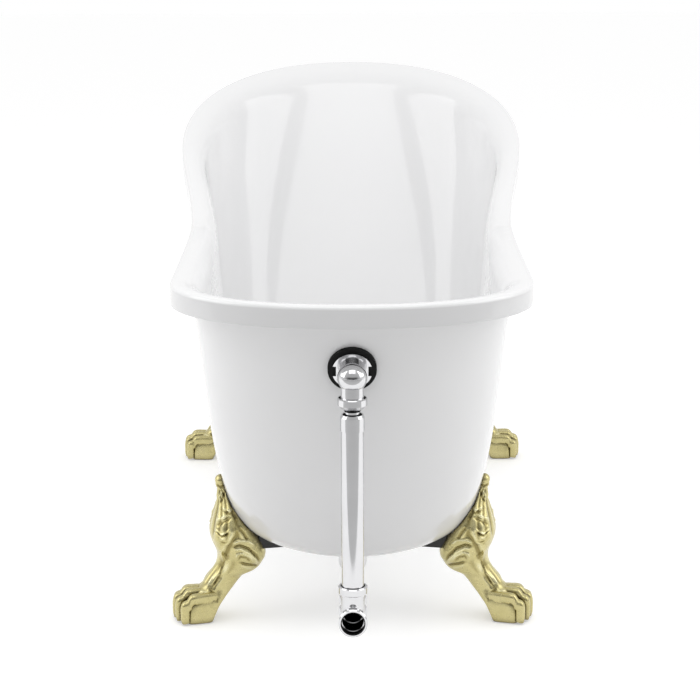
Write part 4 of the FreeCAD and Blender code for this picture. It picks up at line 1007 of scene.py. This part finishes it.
# Each leg's heel across and along the tub, its turn in degrees, and its side of the tub
LEG_PLACES = {
    "leg_front_right": (228 * MM, -485 * MM, -15, 1),
    "leg_front_left": (228 * MM, -485 * MM, -15, -1),
    "leg_rear_right": (283 * MM, 456 * MM, 2, 1),
    "leg_rear_left": (283 * MM, 456 * MM, 2, -1),
}
# How far off the skin a leg ends, how far back a point's search for the skin starts, and
# the rows of the searched skin's floor and wall
LEG_CLEARANCE = 1.2 * MM
SEARCH_BACK = 2 * MM
SEARCH_ROWS = (4, 60)


def skin_tree():
    """Search tree of the outer skin, to seat the legs against."""
    wall = skin_wall(0.0)

    def place(round_way, along):
        places = (lambda w: wall.floor_at(round_way, w), lambda w: wall.at(round_way, w))
        return staged(SEARCH_ROWS, places, along)

    bm = surface(TUB_COLUMNS, sum(SEARCH_ROWS), place)
    tree = BVHTree.FromBMesh(bm)
    bm.free()
    return tree


def make_legs():
    """Four copies of the casting, each seated against the skin."""
    tree = skin_tree()
    casting = bpy.data.meshes.new("casting")
    bm = make_leg_mesh()
    bm.to_mesh(casting)
    bm.free()
    for name, (x, y, splay, side) in LEG_PLACES.items():
        bm = bmesh.new()
        bm.from_mesh(casting)
        matrix = (Matrix.Diagonal((side, 1, 1, 1))
                  @ Matrix.Translation(Vector((x, y, 0)))
                  @ Matrix.Rotation(math.radians(splay), 4, "Z"))
        bmesh.ops.transform(bm, matrix=matrix, verts=bm.verts)
        if side < 0:
            bmesh.ops.reverse_faces(bm, faces=bm.faces)
        for vertex in bm.verts:
            seat_vertex(vertex, tree, matrix)
        piece = new_piece("cast_" + name, bm, "gold_casting", LEG_ANGLE)
        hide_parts(name)
    bpy.data.meshes.remove(casting)


def seat_vertex(vertex, tree, matrix):
    """Moves a point that lies inside the skin out onto it."""
    outward = (matrix.to_3x3() @ Vector((1, 0, 0))).normalized()
    spot, normal = tree.find_nearest(vertex.co)[:2]
    inside = (vertex.co - spot).dot(normal) < LEG_CLEARANCE
    if inside and vertex.co.z > SKIN_BOTTOM - LEG_CLEARANCE:
        origin = vertex.co - outward * SEARCH_BACK
        ahead, facing = tree.ray_cast(origin, outward)[:2]
        if ahead is not None:
            vertex.co = ahead + facing.normalized() * LEG_CLEARANCE
        else:
            vertex.co = spot + normal * LEG_CLEARANCE


# Stage, light and camera

# Focal length and frame width in pixels, sensor width in millimetres, place in metres,
# tilt down and roll in degrees, and the farthest thing seen
FOCAL = 2000.0
FRAME_WIDTH = 700.0
SENSOR = 36.0
CAMERA_PLACE = Vector((-3.2 * MM, -3.638, 1.213))
CAMERA_PITCH = 13.48
CAMERA_ROLL = -0.2
CAMERA_REACH = 60.0

# Half the floor's side, how far it lies under the feet, its tone and its own glow
FLOOR_HALF = 14.0
FLOOR_DROP = 1.0 * MM
FLOOR_TONE = (0.80, 0.80, 0.80)
FLOOR_GLOW = 0.36

# The card's ends in front of the tub's middle, its width and how far it lies above zero
CARD_NEAR = 1.22
CARD_FAR = 7.0
CARD_WIDTH = 10.0
CARD_LIFT = 2 * MM
CARD_TONE = (0.60, 0.60, 0.60)
STAGE_ROUGHNESS = 0.9

WHITE = (1, 1, 1, 1)

# Lamps: place, the place they are aimed at, side of their square and power in watts
LAMPS = {
    "key": ((0.0, -1.6, 2.8), (0, 0.5, 0.5), 2.0, 15.0),
    "left": ((-2.6, -0.7, 1.9), (0, 0.3, 0.5), 2.4, 25.0),
    "right": ((2.6, -0.7, 1.9), (0, 0.3, 0.5), 2.4, 25.0),
}


def make_camera():
    camera = bpy.data.cameras.new("camera")
    camera.sensor_width = SENSOR
    camera.lens = SENSOR * FOCAL / FRAME_WIDTH
    camera.clip_end = CAMERA_REACH
    obj = bpy.data.objects.new("camera", camera)
    obj.location = CAMERA_PLACE
    turn = (Matrix.Rotation(math.radians(90 - CAMERA_PITCH), 4, "X")
            @ Matrix.Rotation(math.radians(CAMERA_ROLL), 4, "Z"))
    obj.rotation_euler = turn.to_euler()
    bpy.context.scene.collection.objects.link(obj)
    bpy.context.scene.camera = obj


def stage_object(name, bm):
    obj = linked_object(name, bm)
    return obj


def make_floor():
    """Pale floor that reads as white round the tub's soft shadow."""
    bm = bmesh.new()
    bmesh.ops.create_grid(bm, x_segments=1, y_segments=1, size=FLOOR_HALF)
    floor = stage_object("floor", bm)
    floor.location.z = -FLOOR_DROP
    finish = Finish("floor")
    finish.set(Base_Color=FLOOR_TONE, Roughness=STAGE_ROUGHNESS)
    path = finish.node("LightPath")
    seen = finish.wire(path, "Is Camera Ray").math("MAXIMUM", finish.wire(path, "Is Glossy Ray"))
    matte = finish.wire(finish.shader)
    glow = finish.wire(finish.node("Emission", None, Color=WHITE, Strength=FLOOR_GLOW))
    bright = finish.node("AddShader")
    plug(bright.inputs[0], matte)
    plug(bright.inputs[1], glow)
    both = finish.node("MixShader")
    plug(both.inputs[0], seen)
    plug(both.inputs[1], matte)
    plug(both.inputs[2], finish.wire(bright))
    output = [node for node in finish.tree.nodes if node.type == "OUTPUT_MATERIAL"][0]
    plug(output.inputs[0], finish.wire(both))
    floor.data.materials.append(finish.material)


def make_card():
    """Grey studio card on the floor in front, out of the picture, which the chrome mirrors."""
    bm = bmesh.new()
    bmesh.ops.create_grid(bm, x_segments=1, y_segments=1, size=0.5)
    bmesh.ops.scale(bm, vec=(CARD_WIDTH, CARD_FAR - CARD_NEAR, 1.0), verts=bm.verts)
    bmesh.ops.translate(bm, vec=(0, -(CARD_FAR + CARD_NEAR) / 2, CARD_LIFT), verts=bm.verts)
    card = stage_object("card", bm)
    finish = Finish("card")
    finish.set(Base_Color=CARD_TONE, Roughness=STAGE_ROUGHNESS)
    card.data.materials.append(finish.material)
    card.visible_camera = False
    card.visible_shadow = False


def make_world():
    """Studio round the tub: pale, dimmer behind the camera and dark at the horizon there."""
    world = bpy.data.worlds.new("studio")
    bpy.context.scene.world = world
    world.use_nodes = True
    tree = world.node_tree
    tree.nodes.clear()
    coords = tree.nodes.new("ShaderNodeTexCoord")
    split = tree.nodes.new("ShaderNodeSeparateXYZ")
    tree.links.new(coords.outputs["Generated"], split.inputs[0])
    toward = Wire(tree, split.outputs[1]) * -1.0
    height = Wire(tree, split.outputs[2])
    smooth = {"interpolation_type": "SMOOTHSTEP"}
    pale = toward.span(-0.2, 0.95, 0.86, 0.55, smooth)
    dark = (toward.span(0.55, 0.92, 0.0, 0.85, smooth)
            * height.span(0.12, 0.38, 1.0, 0.0, smooth))
    path = tree.nodes.new("ShaderNodeLightPath")
    camera = Wire(tree, path.outputs["Is Camera Ray"])
    strength = camera + (1.0 - camera) * pale * (1.0 - dark)
    background = tree.nodes.new("ShaderNodeBackground")
    background.inputs["Color"].default_value = WHITE
    plug(background.inputs["Strength"], strength)
    output = tree.nodes.new("ShaderNodeOutputWorld")
    tree.links.new(background.outputs[0], output.inputs[0])


def area_lamp(name, place, target, size, power):
    lamp = bpy.data.lights.new(name, "AREA")
    lamp.shape = "RECTANGLE"
    lamp.size = size
    lamp.size_y = size
    lamp.energy = power
    obj = bpy.data.objects.new(name, lamp)
    obj.location = place
    aim = Vector(target) - Vector(place)
    obj.rotation_euler = aim.to_track_quat("-Z", "Y").to_euler()
    obj.visible_camera = False
    bpy.context.scene.collection.objects.link(obj)


make_inner_shell()
make_outer_shell()
make_legs()

make_floor()
make_card()
make_world()
for lamp_name, lamp_values in LAMPS.items():
    area_lamp(lamp_name, *lamp_values)
make_camera()
bpy.context.scene.view_settings.view_transform = "Standard"
